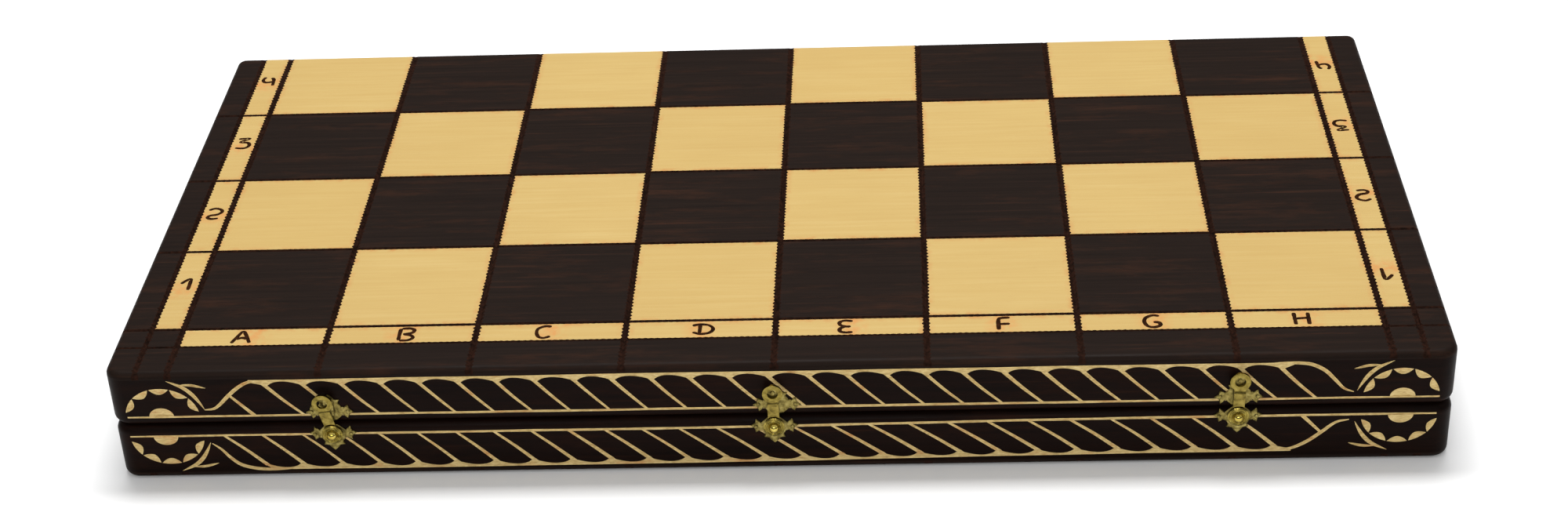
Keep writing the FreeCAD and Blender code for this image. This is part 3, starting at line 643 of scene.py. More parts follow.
def board(half):
    """A board panel: grooved and lettered playing face, rounded edge, flat back."""
    upper = half == "upper"
    low, high = span(f"{half}_board")
    cut = Carving(rounded_outline(0))
    round_steps = 6
    for step in range(1, round_steps + 1):
        ring = rounded_outline(BOARD_ROUND * (1 - math.cos(QUARTER * step / round_steps)))
        cut.line(ring + ring[:1])
    press_grooves(cut)
    burn_glyphs(cut, upper)
    flat, triangles, kinds, depths = cut.solve(SLOPES, CAPS)
    points = []
    for (x, y), depth in zip(flat, depths):
        edge = max(inside_outline(x, y), 0.0)
        out = max(BOARD_ROUND - edge, 0.0)
        drop = BOARD_ROUND - math.sqrt(max(BOARD_ROUND**2 - out**2, 0.0))
        fade = min(max((edge - 0.8) / 4, 0.0), 1.0)
        down = drop + depth * fade
        points.append((x, y, high[2] - down if upper else low[2] + down))
    faces = [tuple(t) for t in triangles]
    marks = {BURNED: BOARD_FINISHES.index("groove"), LETTER: BOARD_FINISHES.index("glyph")}
    picks = []
    for triangle, kind in zip(triangles, kinds):
        middle = flat[triangle].mean(axis=0)
        picks.append(square_finish(*middle, upper) if kind == PLAIN else marks[kind])
    rim = [i for i, (x, y) in enumerate(flat) if abs(inside_outline(x, y)) < 0.02]
    middle = (0, (FRONT + BACK) / 2)
    rim.sort(key=lambda i: math.atan2(flat[i][1] - middle[1], flat[i][0] - middle[0]))
    back_level = low[2] if upper else high[2]
    start = len(points)
    points += [(flat[i][0], flat[i][1], back_level) for i in rim]
    count = len(rim)
    for n in range(count):
        after = (n + 1) % count
        faces.append((rim[n], rim[after], start + after, start + n))
    faces.append(tuple(range(start, start + count)))
    picks += [0] * (count + 1)
    make_piece(
        f"{half}_playing_board", points, faces, BOARD_FINISHES, f"{half}_case",
        f"{half}_board", picks, sharp=33,
    )


# ---- the carved front rails ----

LINE_HEIGHT = 22.4  # of the light line above a half's outer face
BAND = 18.6  # from the light line to the rope's outer edge
ARCH, CUSP = 17.5, 15.3  # tops of the cells' arches and lower ends of the cusps between them
DIAGONALS = 27


def upper_lean(x):
    """How far a strand of the upper rope leans over its height."""
    return 15.4 + 1.1 * math.sin(x / 70)


def lower_lean(x):
    """The same for the lower rope."""
    return 19.2 + 3.2 * math.cos((x - 70) / 75)


# Of each rope: its first and last strand, and the paths of its curled ends and a side twig.
ROPES = {
    "upper": dict(
        first=-218.7, last=213.5, lean=upper_lean,
        head=outline("-246.2,3.4 -242,4 -238.8,6.5 -235,10.5 -230,14.9 -225.4,17.4 -219,18.2"),
        tail=outline("210,18.2 219,18.2 226,17.4 232,14.2 236.7,9.2 240.6,4.8 244.8,3"),
        branch=outline("-234.6,10.8 -224.8,0"),
    ),
    "lower": dict(
        first=-213.1, last=223.1, lean=lower_lean,
        head=outline("-243.8,2.5 -238.2,3.9 -232.5,8.8 -226.3,13.8 -220,17 -212.5,18.2"),
        tail=outline("212,18.2 222,18.4 229,17.6 234.6,15.6 238.7,11.8 242,7.4 245.6,4.2"),
        branch=outline("-232.2,9 -223.8,0"),
    ),
}


def tapered(thick, power):
    """Half-width of a gouge stroke that starts and ends in a point."""
    return lambda share: max(thick * math.sin(math.pi * min(max(share, 0.01), 0.99)) ** power, 0.04)


def rope(cut, half, to_rail):
    """One rail's carving: light line, curled ends, strands, band with arches, rosettes, sprigs."""
    shape = ROPES[half]
    mirror = 1 if half == "upper" else -1
    seed = 3.0 if half == "upper" else 8.0

    def gouge(path, half_width, spacing=1.2):
        curve = smooth_path(path, spacing)
        cut.stroke([to_rail(x, w) for x, w in curve], half_width, CARVED)

    def line_width(share):
        return tapered(0.58, 0.12)(share) * (1 + 0.2 * wander(share * 40, 1, seed))

    line = [(x, 0.12 * wander(x, 30, seed)) for x in np.linspace(-280.4, 281, 90)]
    gouge(line, line_width, 3)
    for end in ("head", "tail"):
        gouge(shape[end], tapered(0.85, 0.4))
    gouge(shape["branch"], lambda share: 0.55 + 0.3 * share)
    pitch = (shape["last"] - shape["first"]) / (DIAGONALS - 1)
    tops = [shape["first"] + n * pitch + 0.7 * wander(n * 7.3, 1.7, seed) for n in range(DIAGONALS)]
    for number, top in enumerate(tops):
        lean = shape["lean"](mirror * top)
        bow = 0.35 * wander(number * 5.1, 1.3, seed + 1)
        heavy = 0.72 + 0.14 * wander(number * 3.7, 1.1, seed + 2)
        path = [(top, CUSP + 0.6), (top + lean * 0.5 + bow, CUSP * 0.5), (top + lean, 0.1)]
        gouge(path, lambda share, heavy=heavy: heavy * (1.15 - 0.42 * share), 2.5)
    places = np.linspace(shape["head"][-2][0], shape["tail"][1][0], 110)
    outer = [(x, BAND + 0.25 * wander(x, 45, seed + 3)) for x in places]
    inner = [(outer[0][0], BAND - 1.3)]
    for number, top in enumerate(tops):
        inner += [(top - 1.3, CUSP + 0.7), (top, CUSP - 0.5), (top + 1.5, CUSP + 0.2)]
        if number + 1 < DIAGONALS:
            start, end = top + 1.5, tops[number + 1] - 1.3
            crown = ARCH + 0.2 * wander(number * 4.4, 1.2, seed + 4)
            for step in range(1, 9):
                t = step / 9
                rise = 1 - abs(2 * t**0.85 - 1) ** 2.1
                low = CUSP + 0.2 + 0.5 * t
                inner.append((start + (end - start) * t, low + (crown - low) * rise))
    inner += [(outer[-1][0], BAND - 1.3)]
    cut.region([to_rail(x, w) for x, w in outer + inner[::-1]], CARVED)
    cut.line([to_rail(x, w - 0.62) for x, w in outer[1:-1]])
    for side in (-1, 1):
        rosette(cut, to_rail, side)
        sprig(gouge, side)


ROSETTE_X, ROSETTE_WIDE, ROSETTE_HIGH = 264.8, 16.1, 14.3
PETALS = 5


def rosette(cut, to_rail, side):
    """Half a flower on the light line: scalloped petals round a half disc."""

    def area(ring):
        cut.region([to_rail(side * x, w) for x, w in ring], CARVED)
        middle = np.mean(ring, axis=0)
        core = [middle + (np.array(p) - middle) * 0.5 for p in ring]
        cut.line([to_rail(side * x, w) for x, w in core + core[:1]])

    def at(angle, inward=0.0):
        wide, high = ROSETTE_WIDE - inward, ROSETTE_HIGH - inward
        return (ROSETTE_X + wide * math.cos(angle), 0.4 + high * math.sin(angle))

    first, last = math.radians(8), math.radians(172)
    for petal in range(PETALS):
        start = first + (last - first) * petal / PETALS + 0.015
        end = first + (last - first) * (petal + 1) / PETALS - 0.015
        angles = np.linspace(start, end, 9)
        depth = 3.1 + 0.35 * wander(petal * 2.3, 1, side)
        bulges = [math.sin(math.pi * (a - start) / (end - start)) ** 0.7 for a in angles[1:-1]]
        inner = [at(a, depth * bulge) for a, bulge in zip(angles[1:-1], bulges)]
        area([at(a) for a in angles] + inner[::-1])
    turns = np.linspace(0, math.pi, 15)
    area([(ROSETTE_X + 0.6 + 5.4 * math.cos(a), 0.2 + 4.4 * math.sin(a)) for a in turns])


def sprig(gouge, side):
    """A leaf stem between the rope's end and the rosette, with one barb."""
    stem = [(246.2, 3.6), (247.9, 7.2), (250.6, 11.6), (254.4, 15.3), (260.8, 18.6)]
    barb = [(255.6, 16.5), (250.0, 16.2), (244.2, 14.7)]
    gouge([(side * x, w) for x, w in stem], tapered(0.92, 0.8), 0.8)
    gouge([(side * x, w) for x, w in barb], tapered(0.66, 0.7), 0.8)


def front_rail(half):
    """A front rail: round corners, a rounded parting edge, the rope carved through the stain."""
    upper = half == "upper"
    low, high = span(f"{half}_front_rail")
    straight = HALF_WIDTH - FRONT_RADIUS
    arc = FRONT_RADIUS * QUARTER
    depth = high[1] - low[1]
    reach = straight + arc + depth - FRONT_RADIUS
    outer = TOP - high[2] if upper else low[2]  # both halves are drawn as the lower one
    part = TOP - low[2] if upper else high[2]
    round_start = part - PART_ROUND
    top = round_start + PART_ROUND * QUARTER
    cut = Carving([(-reach, outer), (reach, outer), (reach, top), (-reach, top)])
    steps = 8
    for step in range(steps + 1):
        bend = straight + arc * step / steps
        for sign in (-1, 1):
            cut.line([(sign * bend, outer - 1), (sign * bend, top + 1)])
        level = round_start + (top - round_start) * step / steps
        cut.line([(-reach - 1, level), (reach + 1, level)])

    def to_rail(x, w):
        if upper:
            return (x, LINE_HEIGHT - w)
        share = min(max((60 - x) / 240, 0.0), 1.0)
        rise = 1.4 * share * share * (3 - 2 * share)
        return (-x, LINE_HEIGHT + 0.05 + rise - w)

    rope(cut, half, to_rail)
    flat, triangles, kinds, depths = cut.solve(SLOPES, CAPS)
    points = []
    for (u, v), cut_depth in zip(flat, depths):
        turn = min(max((abs(u) - straight) / FRONT_RADIUS, 0.0), QUARTER)
        beyond = max(abs(u) - straight - arc, 0.0)
        tilt = min(max((v - round_start) / PART_ROUND, 0.0), QUARTER)
        inset = PART_ROUND * (1 - math.cos(tilt)) + cut_depth * math.cos(tilt)
        out = FRONT_RADIUS - inset
        x = min(abs(u), straight) + out * math.sin(turn)
        y = low[1] + FRONT_RADIUS - out * math.cos(turn) + beyond
        z = min(v, round_start) + PART_ROUND * math.sin(tilt) - cut_depth * math.sin(tilt)
        points.append((math.copysign(x, u), y, TOP - z if upper else z))
    faces = [tuple(t) for t in triangles]
    picks = [1 if kind == CARVED else 0 for kind in kinds]

    def along(axis, value):
        """The pattern's points on one side of it, in order."""
        near = [i for i, p in enumerate(flat) if abs(p[axis] - value) < 0.02]
        return sorted(near, key=lambda i: flat[i][1 - axis])

    ends = along(0, -reach) + along(0, reach)[::-1]
    faces += [tuple(along(1, outer)), tuple(along(1, top)), tuple(ends)]
    make_piece(
        f"{half}_carved_front", points, faces, ["carved_front", "carved"], f"{half}_case",
        f"{half}_front_rail", picks + [0, 0, 0], sharp=33,
    )


# ---- brass ----

# Half of a lower plate's outline, as shares of its reach from its middle to a side point.
PLATE_OUTLINE = outline(
    "0,.485 .25,.45 .43,.29 .54,.18 .75,.37 .82,.15 1,.05 .84,-.09 .78,-.31 .6,-.18 .48,-.23"
    " .39,-.39 .45,-.56 .24,-.58 .15,-.7 0,-.85"
)
PLATE_REACH, PLATE_THICK, PLATE_POINT = 10.3, 0.8, 0.85
NAIL_HEAD, NAIL_SPREAD = 0.9, 0.77
RIVET_SHAFT, RIVET_DOME, RIVET_CAP_HEIGHT = 1.25, 2.3, 2.8


def plate_place(side, half):
    """A plate's CAD node, the middle it is drawn from, and the way its crown points along Z."""
    upper = half == "upper"
    node = f"{side}_keeper_plate" if upper else f"{side}_latch_plate"
    low, high = span(node)
    level = high[2] - PLATE_POINT * PLATE_REACH if upper else low[2] + PLATE_POINT * PLATE_REACH
    return node, (low[0] + high[0]) / 2, level, -1 if upper else 1


def latch_plate(side, half):
    """A pressed plate: rolled edge, raised ribs to its points, beaded rings and small dents."""
    node, middle, level, sign = plate_place(side, half)
    back_face = span(node)[1][1]
    ring = PLATE_OUTLINE + [(-x, z) for x, z in PLATE_OUTLINE[-2:0:-1]]
    ring = np.array([(x * PLATE_REACH, sign * z * PLATE_REACH) for x, z in ring])
    dense = []
    for a, b in zip(ring, np.roll(ring, -1, axis=0)):
        count = max(1, int(math.dist(a, b) / 0.5))
        dense += [a + (b - a) * i / count for i in range(count)]
    grid = np.arange(-PLATE_REACH, PLATE_REACH, 0.4)
    flat, triangles, to_rim = filled_outline(dense, grid, grid, 0.22)
    points = []
    for x, z in flat:
        roll = min(to_rim(x, z) / 0.4, 1.0)
        far = math.hypot(x, z)
        rib = math.cos(4 * math.atan2(z * sign, x)) ** 2 * min(max(far / 5 - 0.7, 0), 1)
        beaded = 0.09 * math.cos(far * 3.1) * min(max(far / 3 - 1, 0), 1)
        dents = 0.07 * noise.noise(Vector((x * 0.9, z * 0.9, middle * 0.01)))
        drop = 0.42 * (1 - math.sqrt(max(1 - (1 - roll) ** 2, 0))) + 0.16 * (1 - rib) * roll + 0.1
        sunk = max(drop - (beaded + dents) * roll, 0.0)
        points.append((middle + x, back_face - PLATE_THICK + sunk, level + z))
    faces = both_faces(triangles, len(points))
    points += [(middle + x, back_face, level + z) for x, z in flat]
    make_piece(
        f"{node}_pressed", points, faces, ["latch_brass"], f"{half}_case", node,
        sharp=40,
    )


def arch(radius, start, steps):
    """A dome's profile from a starting angle to its top, about the origin."""
    turns = np.linspace(start, QUARTER, steps)
    return [(radius * math.cos(a), radius * math.sin(a)) for a in turns[:-1]] + [(0, radius)]


def lathe(profile, segments, ripple=None):
    """Points and faces of a turned solid about Z; ripple drops a point by its angle."""
    points, faces, rings = [], [], []
    for radius, height in profile:
        if radius < 1e-4:
            rings.append([len(points)])
            points.append((0.0, 0.0, height))
            continue
        rings.append(list(range(len(points), len(points) + segments)))
        for step in range(segments):
            angle = 2 * math.pi * step / segments
            level = ripple(radius, height, angle) if ripple else height
            points.append((radius * math.cos(angle), radius * math.sin(angle), level))
    for below, above in zip(rings, rings[1:]):
        for step in range(segments):
            after = (step + 1) % segments
            if len(below) == 1 and len(above) > 1:
                faces.append((below[0], above[step], above[after]))
            elif len(above) == 1 and len(below) > 1:
                faces.append((below[step], below[after], above[0]))
            elif len(below) > 1:
                faces.append((below[step], below[after], above[after], above[step]))
    return np.array(points), faces


def into_front(points, x, back, z):
    """A turned solid laid with its foot in the rail and its top to the front."""
    return np.column_stack([x + points[:, 0], back - points[:, 2], z + points[:, 1]])


def rivet(side):
    """A ringed cap with a polished dome, on its shaft."""
    node = f"{side}_latch_rivet"
    low, high = span(node)
    middle = (low + high) / 2
    cap = (high[0] - low[0]) / 2
    total = high[1] - low[1]
    under = total - RIVET_CAP_HEIGHT
    profile = [(0, 0), (RIVET_SHAFT, 0), (RIVET_SHAFT, under)]
    profile += [(cap, under), (cap, under + 0.22), (cap * 0.96, under + 0.36)]
    for share in np.linspace(0.92, 0.54, 16):
        ringed = 0.17 * math.sin(share * 31) + 0.3 * (0.96 - share)
        profile.append((cap * share, under + 0.42 + ringed))
    profile += [(r, total - RIVET_DOME + h) for r, h in arch(RIVET_DOME, 0.18, 12)]
    points, faces = lathe(profile, 56)
    picks = [1 if points[list(face), 2].mean() > under + 0.95 else 0 for face in faces]
    make_piece(
        f"{node}_domed", into_front(points, middle[0], high[1], middle[2]), faces,
        ["cap_brass", "bright_brass"], "lower_case", node, picks,
    )


def nails(half):
    """Two domed pins through each plate."""
    node = f"{half}_latch_nails"
    low, high = span(node)
    length, shank, dome = high[1] - low[1], NAIL_HEAD / 2, 0.42
    profile = [(0, 0), (0.12, 0.15), (shank, 1.1), (shank, length - 0.5), (NAIL_HEAD, length - 0.5)]
    profile += [(NAIL_HEAD * r, length - dome + dome * h) for r, h in arch(1, 0.1, 6)]
    points, faces = lathe(profile, 20)
    for side in SIDES:
        _, middle, level, _ = plate_place(side, half)
        for word, sign in (("left", -1), ("right", 1)):
            x = middle + sign * NAIL_SPREAD * PLATE_REACH
            make_piece(
                f"{side}_{half}_{word}_nail", into_front(points, x, high[1], level), faces,
                ["latch_brass"], f"{half}_case", node,
            )


def cad_mesh(node):
    """The mesh of a CAD node as it was loaded."""
    return next(o for o in bpy.data.objects if o.get("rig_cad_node") == node or o.name == node).data


def softened(node, body, finish, width=0.14):
    """A CAD node's own shape with its edges eased, as stamped and tumbled metal has them."""
    sharp = math.radians(40)
    mesh = cad_mesh(node).copy()
    mesh.materials.clear()
    mesh.materials.append(FINISHES[finish])
    shaped = bmesh.new()
    shaped.from_mesh(mesh)
    bmesh.ops.remove_doubles(shaped, verts=shaped.verts, dist=1e-6)
    bmesh.ops.dissolve_limit(
        shaped, angle_limit=math.radians(1), verts=shaped.verts, edges=shaped.edges
    )
    edges = [e for e in shaped.edges if len(e.link_faces) == 2 and e.calc_face_angle(0) > sharp]
    bmesh.ops.bevel(
        shaped, geom=edges, offset=width * MM, segments=2, profile=0.6, affect="EDGES",
        clamp_overlap=True,
    )
    bmesh.ops.recalc_face_normals(shaped, faces=shaped.faces)
    for face in shaped.faces:
        face.smooth = True
        face.material_index = 0
    shaped.to_mesh(mesh)
    shaped.free()
    mesh.set_sharp_from_angle(angle=sharp)
    settle(f"{node}_eased", mesh, body, node)


# ---- felt ----


def felt_lining(half):
    """A cut sheet of felt glued over the inside of a board, its nap a little uneven."""
    node = f"{half}_felt_lining"
    low, high = span(node)
    cells_x, cells_y = 110, 54
    points, faces = [], []
    for level in (0, 1):
        for j in range(cells_y + 1):
            for i in range(cells_x + 1):
                x = low[0] + (high[0] - low[0]) * i / cells_x
                y = low[1] + (high[1] - low[1]) * j / cells_y
                edge = min(i, j, cells_x - i, cells_y - j) == 0
                nap = 0.12 + 0.1 * noise.noise(Vector((x / 9, y / 9, 0.5))) + (0.22 if edge else 0)
                glued = (level == 0) == (half == "lower")
                inward = 0.0 if glued else nap
                points.append((x, y, low[2] + inward if level == 0 else high[2] - inward))
    row = cells_x + 1
    layer = row * (cells_y + 1)
    for j in range(cells_y):
        for i in range(cells_x):
            a = j * row + i
            faces.append((a, a + 1, a + row + 1, a + row))
            faces.append((a + layer, a + layer + row, a + layer + row + 1, a + layer + 1))
    rim = list(range(row)) + [j * row + row - 1 for j in range(1, cells_y + 1)]
    rim += [cells_y * row + i for i in range(cells_x - 1, -1, -1)]
    rim += [j * row for j in range(cells_y - 1, 0, -1)]
    faces += [(a, b, b + layer, a + layer) for a, b in zip(rim, rim[1:] + rim[:1])]
    piece = make_piece(
        f"{half}_felt_sheet", points, faces, ["lining"], f"{half}_case", node
    )


# ---- chessmen ----

# Turned outlines from the base up: share of the base's radius, share of the height. A point that
# stands twice keeps its corner when the outline is rounded.
FOOT = outline(
    "0,0 .95,0 1,.012 1,.045 .93,.06 .93,.06 .88,.065 .9,.085 .82,.1 .82,.1 .72,.125 .66,.16 .66,.16"
    " .7,.172 .66,.19 .56,.195 .56,.195"
)
TURNINGS = {
    "king": outline(
        ".44,.25 .35,.36 .31,.5 .33,.56 .33,.56 .56,.57 .59,.585 .56,.6 .42,.605 .42,.605 .46,.618"
        " .5,.63 .46,.642 .36,.65 .36,.65 .42,.73 .56,.82 .6,.845 .6,.845 .56,.86 .34,.885 .16,.893"
        " .14,.9 0,.9"
    ),
    "queen": outline(
        ".43,.26 .35,.38 .32,.52 .34,.585 .34,.585 .56,.595 .59,.61 .56,.625 .42,.63 .42,.63 .48,.645"
        " .46,.66 .37,.67 .37,.67 .42,.76 .55,.87 .64,.915 .6,.92 .5,.89 .3,.9 .16,.925 0,.93"
    ),
    "bishop": outline(
        ".42,.27 .34,.4 .32,.52 .33,.56 .33,.56 .56,.572 .59,.59 .55,.61 .4,.615 .4,.615 .45,.632"
        " .42,.65 .32,.66 .32,.66 .5,.72 .52,.78 .42,.87 .2,.935 .1,.95 0,.952"
    ),
    "knight": outline(".58,.215 .66,.235 .7,.26 .7,.285 .66,.3 .4,.3 0,.3"),
    "rook": outline(
        ".52,.27 .46,.42 .44,.58 .46,.66 .46,.66 .6,.675 .62,.69 .58,.71 .58,.71 .7,.75 .72,.77"
        " .72,.995 .72,.995 .7,1 .7,1 .5,1 .5,1 .46,.99 .46,.91 .46,.91 0,.91"
    ),
    "pawn": outline(
        ".44,.28 .36,.42 .33,.56 .34,.59 .34,.59 .58,.605 .6,.625 .56,.645 .4,.655 .4,.655 .34,.67"
    ),
}
HORSE_HEAD = outline(
    "-.6,.27 .6,.27 .5,.4 .34,.52 .62,.53 .84,.52 .96,.58 .92,.67 .7,.76 .46,.86 .3,.93 .2,.985 .1,.93"
    " -.1,.93 -.36,.86 -.58,.74 -.7,.58 -.7,.42"
)
TOP_BALLS = {"queen": 0.22, "bishop": 0.17}  # radius as a share of the base's


def rounded_profile(shares, radius, height):
    """Chaikin's corner cutting, twice; doubled points stay as corners."""
    line = [np.array((r * radius, h * height)) for r, h in shares]
    for _ in range(2):
        cut = [line[0]]
        for a, b in zip(line, line[1:]):
            if math.dist(a, b) > 1e-6:
                cut += [a * 0.75 + b * 0.25, a * 0.25 + b * 0.75]
            else:
                cut.append(a)
        line = cut + [line[-1]]
    return [(max(p[0], 0.0), p[1]) for p in line]


def crown_ripple(kind, base, height):
    """The queen's coronet and the rook's battlements."""

    def queen(radius, level, angle):
        share = min(max((level / height - 0.86) / 0.05, 0), 1) if radius > 0.45 * base else 0
        return level - share * 0.018 * height * (0.5 + 0.5 * math.cos(9 * angle))

    def rook(radius, level, angle):
        gap = abs((angle / QUARTER + 0.5) % 1 - 0.5) < 0.16
        return min(level, 0.925 * height) if gap and level > 0.92 * height else level

    return {"queen": queen, "rook": rook}.get(kind)


def ball(radius, top):
    """A ball that ends at a height."""
    turns = np.linspace(-QUARTER, QUARTER, 15)
    profile = [(radius * math.cos(a), top - radius + radius * math.sin(a)) for a in turns]
    return lathe(profile, 24)


def joined(parts):
    """Several solids as one list of points and faces."""
    points, faces = [], []
    for more_points, more_faces in parts:
        start = len(points)
        points += [tuple(p) for p in more_points]
        faces += [tuple(i + start for i in f) for f in more_faces]
    return np.array(points), faces


def kings_cross(height):
    """A flared cross, thinner towards its edges."""
    ring = [(1.1, 0.885), (0.9, 0.915), (1.4, 0.934), (5.0, 0.925), (5.0, 0.965), (1.4, 0.956)]
    ring += [(1.0, 0.97), (2.0, 1.0)]
    ring = [(-1.1, 0.885)] + ring + [(-x, share) for x, share in ring[:0:-1]]
    points, faces = [], []
    for y, shrink in ((-1.5, 0.82), (-1.0, 1.0), (1.0, 1.0), (1.5, 0.82)):
        for x, share in ring:
            level = 0.945 + (share - 0.945) * (1 if share < 0.93 else shrink)
            points.append((x * shrink, y, height * level))
    count = len(ring)
    for layer in range(3):
        for i in range(count):
            a, b = layer * count + i, layer * count + (i + 1) % count
            faces.append((a, b, b + count, a + count))
    faces += [tuple(range(count)), tuple(range(3 * count, 4 * count))]
    return np.array(points), faces


def horse(radius, height):
    """A carved horse's head: an outline swelled to both sides, with mane, jaw, eye and nostril."""
    head = [(x * radius, z * height) for x, z in HORSE_HEAD + HORSE_HEAD[:1]]
    ring = smooth_path(head, 1.0)[:-1]
    low, high = ring.min(axis=0), ring.max(axis=0)
    across, up = np.arange(low[0], high[0], 0.9), np.arange(low[1], high[1], 0.9)
    flat, triangles, to_rim = filled_outline(ring, across, up, 0.55)
    eye, nostril = (0.36 * radius, 0.8 * height), (0.8 * radius, 0.63 * height)
    thick = radius * 0.4

    def swell(x, z):
        edge = to_rim(x, z)
        half = thick * math.sqrt(1 - (1 - min(edge / (radius * 0.42), 1)) ** 2)
        half *= 1.0 - 0.25 * (z / height - 0.4)
        back = max(-x / radius - 0.12, 0)
        mane = 0.5 * math.sin((z + 0.8 * x) * 1.5) * min(back * 4, 1)
        socket = 0.9 * math.exp(-((math.dist((x, z), eye) - 1.5) ** 2) / 0.5)
        hole = 0.8 * math.exp(-(math.dist((x, z), nostril) ** 2) / 0.6)
        return max(half - (mane + socket + hole) * min(edge, 1), 0.0)

    points = [(x, 0.35 if to_rim(x, z) < 0.01 else max(swell(x, z), 0.4), z) for x, z in flat]
    faces = both_faces(triangles, len(points))
    return np.array(points + [(x, -y, z) for x, y, z in points]), faces


def chessman(kind, radius, height):
    """A turned man with its base on the ground, and what is carved or set on its top."""
    profile = rounded_profile(FOOT + TURNINGS[kind], radius, height)
    if kind == "pawn":
        head = 0.52 * radius
        neck = -math.acos(min(profile[-1][0] / head, 1))
        profile += [(r, height - head + h) for r, h in arch(head, neck, 16)]
    segments = 64 if kind in ("queen", "rook") else 48
    parts = [lathe(profile, segments, crown_ripple(kind, radius, height))]
    if kind in TOP_BALLS:
        parts.append(ball(TOP_BALLS[kind] * radius, height))
    if kind == "king":
        parts.append(kings_cross(height))
    if kind == "knight":
        parts.append(horse(radius, height))
    return joined(parts)


FELT_THICK, CELL_PLAY, FELT_INSET = 0.8, 1.0, 1.0
PAWN_COLUMNS, LAST_COLUMN = (0, 1, 10, 11), 11
HEADS = {"white": -1, "black": 1}  # which way along Y the men's heads lie


def lay_down(points, colour, x, base, z):
    """A standing solid laid down along Y, with its base towards the middle of the case."""
    sign = HEADS[colour]
    return np.column_stack([x + points[:, 0], base + sign * points[:, 2], z - sign * points[:, 1]])


def army(colour):
    """One colour's sixteen men in their compartments."""
    pairs = [f"{side}_{kind}" for kind in ("bishop", "knight", "rook") for side in ("left", "right")]
    for label in ["king", "queen"] + pairs:
        node = f"{colour}_{label}"
        low, high = span(node)
        base = high[1] if colour == "white" else low[1]
        middle = ((low[0] + high[0]) / 2, base, (low[2] + high[2]) / 2)
        radius, height = (high[2] - low[2]) / 2, high[1] - low[1]
        place_man(f"{node}_turned", label.split("_")[-1], radius, height, colour, middle, node)
    node = f"{colour}_pawns"
    low, high = span(node)
    base = high[1] if colour == "white" else low[1]
    radius = (high[2] - low[2]) / 2
    height = (high[1] - low[1] - FELT_THICK - CELL_PLAY) / 2
    pitch = (high[0] - low[0] - 2 * radius) / LAST_COLUMN
    for column_number, column in enumerate(PAWN_COLUMNS):
        for step in (0, 1):
            number = 2 * column_number + step + 1
            y = base + HEADS[colour] * step * (height + FELT_THICK + CELL_PLAY)
            middle = (low[0] + radius + column * pitch, y, (low[2] + high[2]) / 2)
            place_man(f"{colour}_pawn_{number}", "pawn", radius, height, colour, middle, node)


def place_man(name, kind, radius, height, colour, middle, node):
    """One man and the disc of felt under it."""
    points, faces = chessman(kind, radius, height)
    world = lay_down(points, colour, *middle)
    wood = "light_chessmen" if colour == "white" else "dark_chessmen"
    make_piece(name, world, faces, [wood], "lower_case", node, sharp=38)
    baize(name, radius - FELT_INSET, colour, middle)


def baize(name, radius, colour, middle):
    """The disc glued under a chessman."""
    rings = [(0.0, 0.0)] + [(radius * s, 0.0) for s in (0.35, 0.7, 0.97)] + [(radius, 0.12)]
    rings += [(radius, FELT_THICK)] + [(radius * s, FELT_THICK) for s in (0.7, 0.35, 0.0)]
    points, faces = lathe(rings, 40)
    inside = [0 < p[2] < FELT_THICK for p in points]
    fuzz = [0.04 * noise.noise(Vector((p[0], p[1], 3.0))) if i else 0 for p, i in zip(points, inside)]
    points[:, :2] *= 1 - np.abs(fuzz)[:, None]
    base = middle[1] - HEADS[colour] * FELT_THICK
    world = lay_down(points, colour, middle[0], base, middle[2])
    piece = make_piece(
        f"{name}_felt", world, faces, ["base_felt"], "lower_case",
        f"{colour}_base_felts",
    )


# ---- all the pieces, and the CAD nodes that are carried over ----


def refinish(node, finish):
    """A CAD node that stays visible gets a finish."""
    mesh = cad_mesh(node)
    mesh.materials.clear()
    mesh.materials.append(FINISHES[finish])


for half_name in ("lower", "upper"):
    board(half_name)
    front_rail(half_name)
    felt_lining(half_name)
    nails(half_name)
    for side_name in SIDES:
        latch_plate(side_name, half_name)
    refinish(f"{half_name}_back_rail", "carved_front")
    for side_name in ("left", "right"):
        refinish(f"{half_name}_{side_name}_rail", "side_stain")
        leaf_name = f"{side_name}_hinge_{half_name}_leaf"
        softened(leaf_name, f"{half_name}_case", "hinge_brass")
    refinish(f"{half_name}_hinge_screws", "bright_brass")
for side_name in SIDES:
    rivet(side_name)
    softened(f"{side_name}_latch_arm", f"{side_name}_latch_arm", "arm_brass", 0.26)
    softened(f"{side_name}_keeper", "upper_case", "latch_brass")
for side_name in ("left", "right"):
    refinish(f"{side_name}_hinge_pin", "hinge_brass")
for node_name in ("long_divider", "cross_dividers"):
    refinish(node_name, "tray_wood")
for colour_name in ("white", "black"):
    army(colour_name)

# ---- floor, light and camera ----


def studio_floor():
    """A wide white floor."""
    finish = Finish("studio floor", roughness=0.9)
    shade = finish.noise((400, 400, 400), detail=2)
    finish.colour(finish.ramp(shade, [(0.3, (0.93, 0.93, 0.93, 1)), (0.7, (0.95, 0.95, 0.95, 1))]))
    half = 12.0
    corners = [(-half, -half, 0), (half, -half, 0), (half, half, 0), (-half, half, 0)]
    mesh = bpy.data.meshes.new("floor")
    mesh.from_pydata(corners, [], [(0, 1, 2, 3)])
    mesh.materials.append(finish.material)
    floor = bpy.data.objects.new("floor", mesh)
    bpy.context.scene.collection.objects.link(floor)


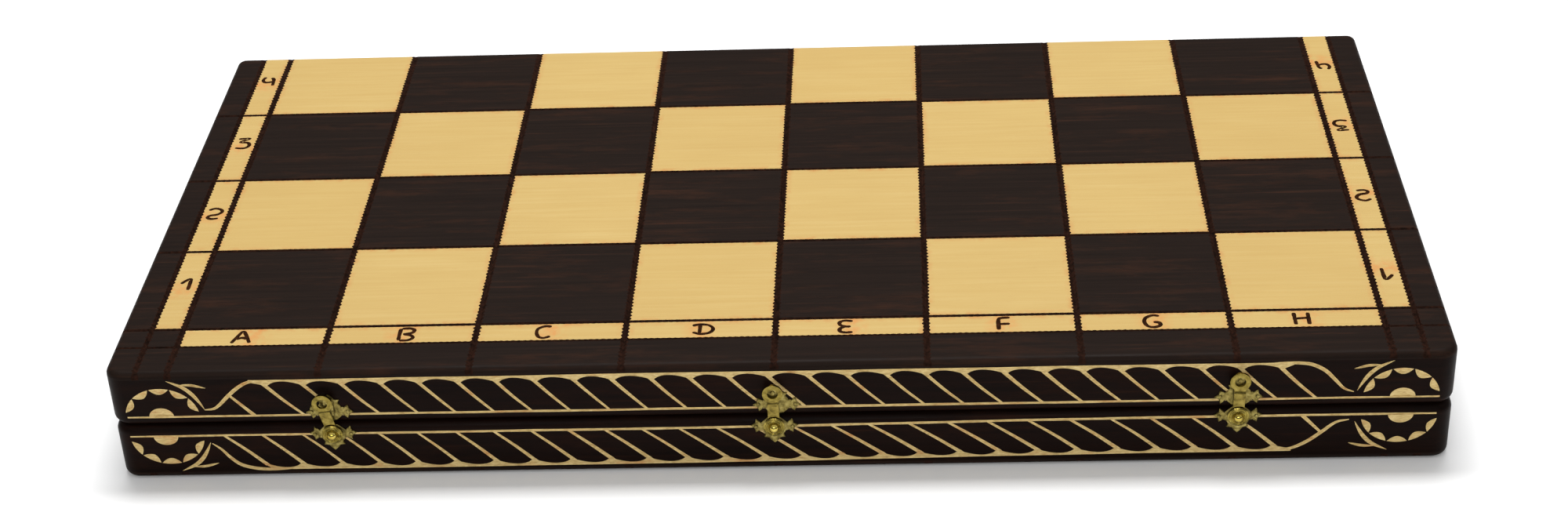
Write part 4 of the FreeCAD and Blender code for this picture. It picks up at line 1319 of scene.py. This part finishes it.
def studio_sky():
    """A white sky that grows brighter overhead."""
    world = bpy.data.worlds.new("studio")
    world.use_nodes = True
    tree = world.node_tree
    sky = tree.nodes.new("ShaderNodeTexCoord")
    parts = tree.nodes.new("ShaderNodeSeparateXYZ")
    fade = tree.nodes.new("ShaderNodeMapRange")
    tree.links.new(sky.outputs["Generated"], parts.inputs[0])
    tree.links.new(parts.outputs[2], fade.inputs["Value"])
    for key, value in (("From Min", 0.3), ("From Max", 0.9), ("To Min", 0.24), ("To Max", 0.7)):
        fade.inputs[key].default_value = value
    tree.links.new(fade.outputs[0], tree.nodes["Background"].inputs["Strength"])
    tree.nodes["Background"].inputs["Color"].default_value = (1.0, 1.0, 1.0, 1)
    bpy.context.scene.world = world


def studio_lamps():
    """Soft boxes: each one's name, place, aim, width, height and power."""
    lights = (
        ("key from behind", (0, 0.42, 1.85), (0, 0, 0), 1.2, 0.5, 33.0),
        ("front fill", (-0.12, -2.3, 1.36), (0, -0.15, 0.03), 1.5, 0.3, 14.0),
        ("right rim", (1.9, -0.4, 1.2), (0, 0, 0.02), 1.0, 1.0, 1.5),
    )
    for name, place, aim, wide, high, power in lights:
        data = bpy.data.lights.new(name, "AREA")
        data.shape = "RECTANGLE"
        data.size, data.size_y, data.energy = wide, high, power
        lamp = bpy.data.objects.new(name, data)
        lamp.location = place
        lamp.rotation_euler = (Vector(aim) - Vector(place)).to_track_quat("-Z", "Y").to_euler()
        bpy.context.scene.collection.objects.link(lamp)


def camera():
    """A viewer in front, above and a little to the right."""
    data = bpy.data.cameras.new("camera")
    data.lens, data.sensor_width = 61.1, 36.0
    data.clip_start, data.clip_end = 0.05, 50.0
    seen = bpy.data.objects.new("camera", data)
    turn = (
        Matrix.Rotation(math.radians(3.0238), 4, "Z")
        @ Matrix.Rotation(math.radians(58.2635), 4, "X")
        @ Matrix.Rotation(math.radians(-2.6818), 4, "Z")
    )
    seen.matrix_world = Matrix.Translation((0.05575, -1.07706, 0.68476)) @ turn
    bpy.context.scene.collection.objects.link(seen)
    bpy.context.scene.camera = seen


studio_floor()
studio_sky()
studio_lamps()
camera()
bpy.context.scene.view_settings.view_transform = "Standard"
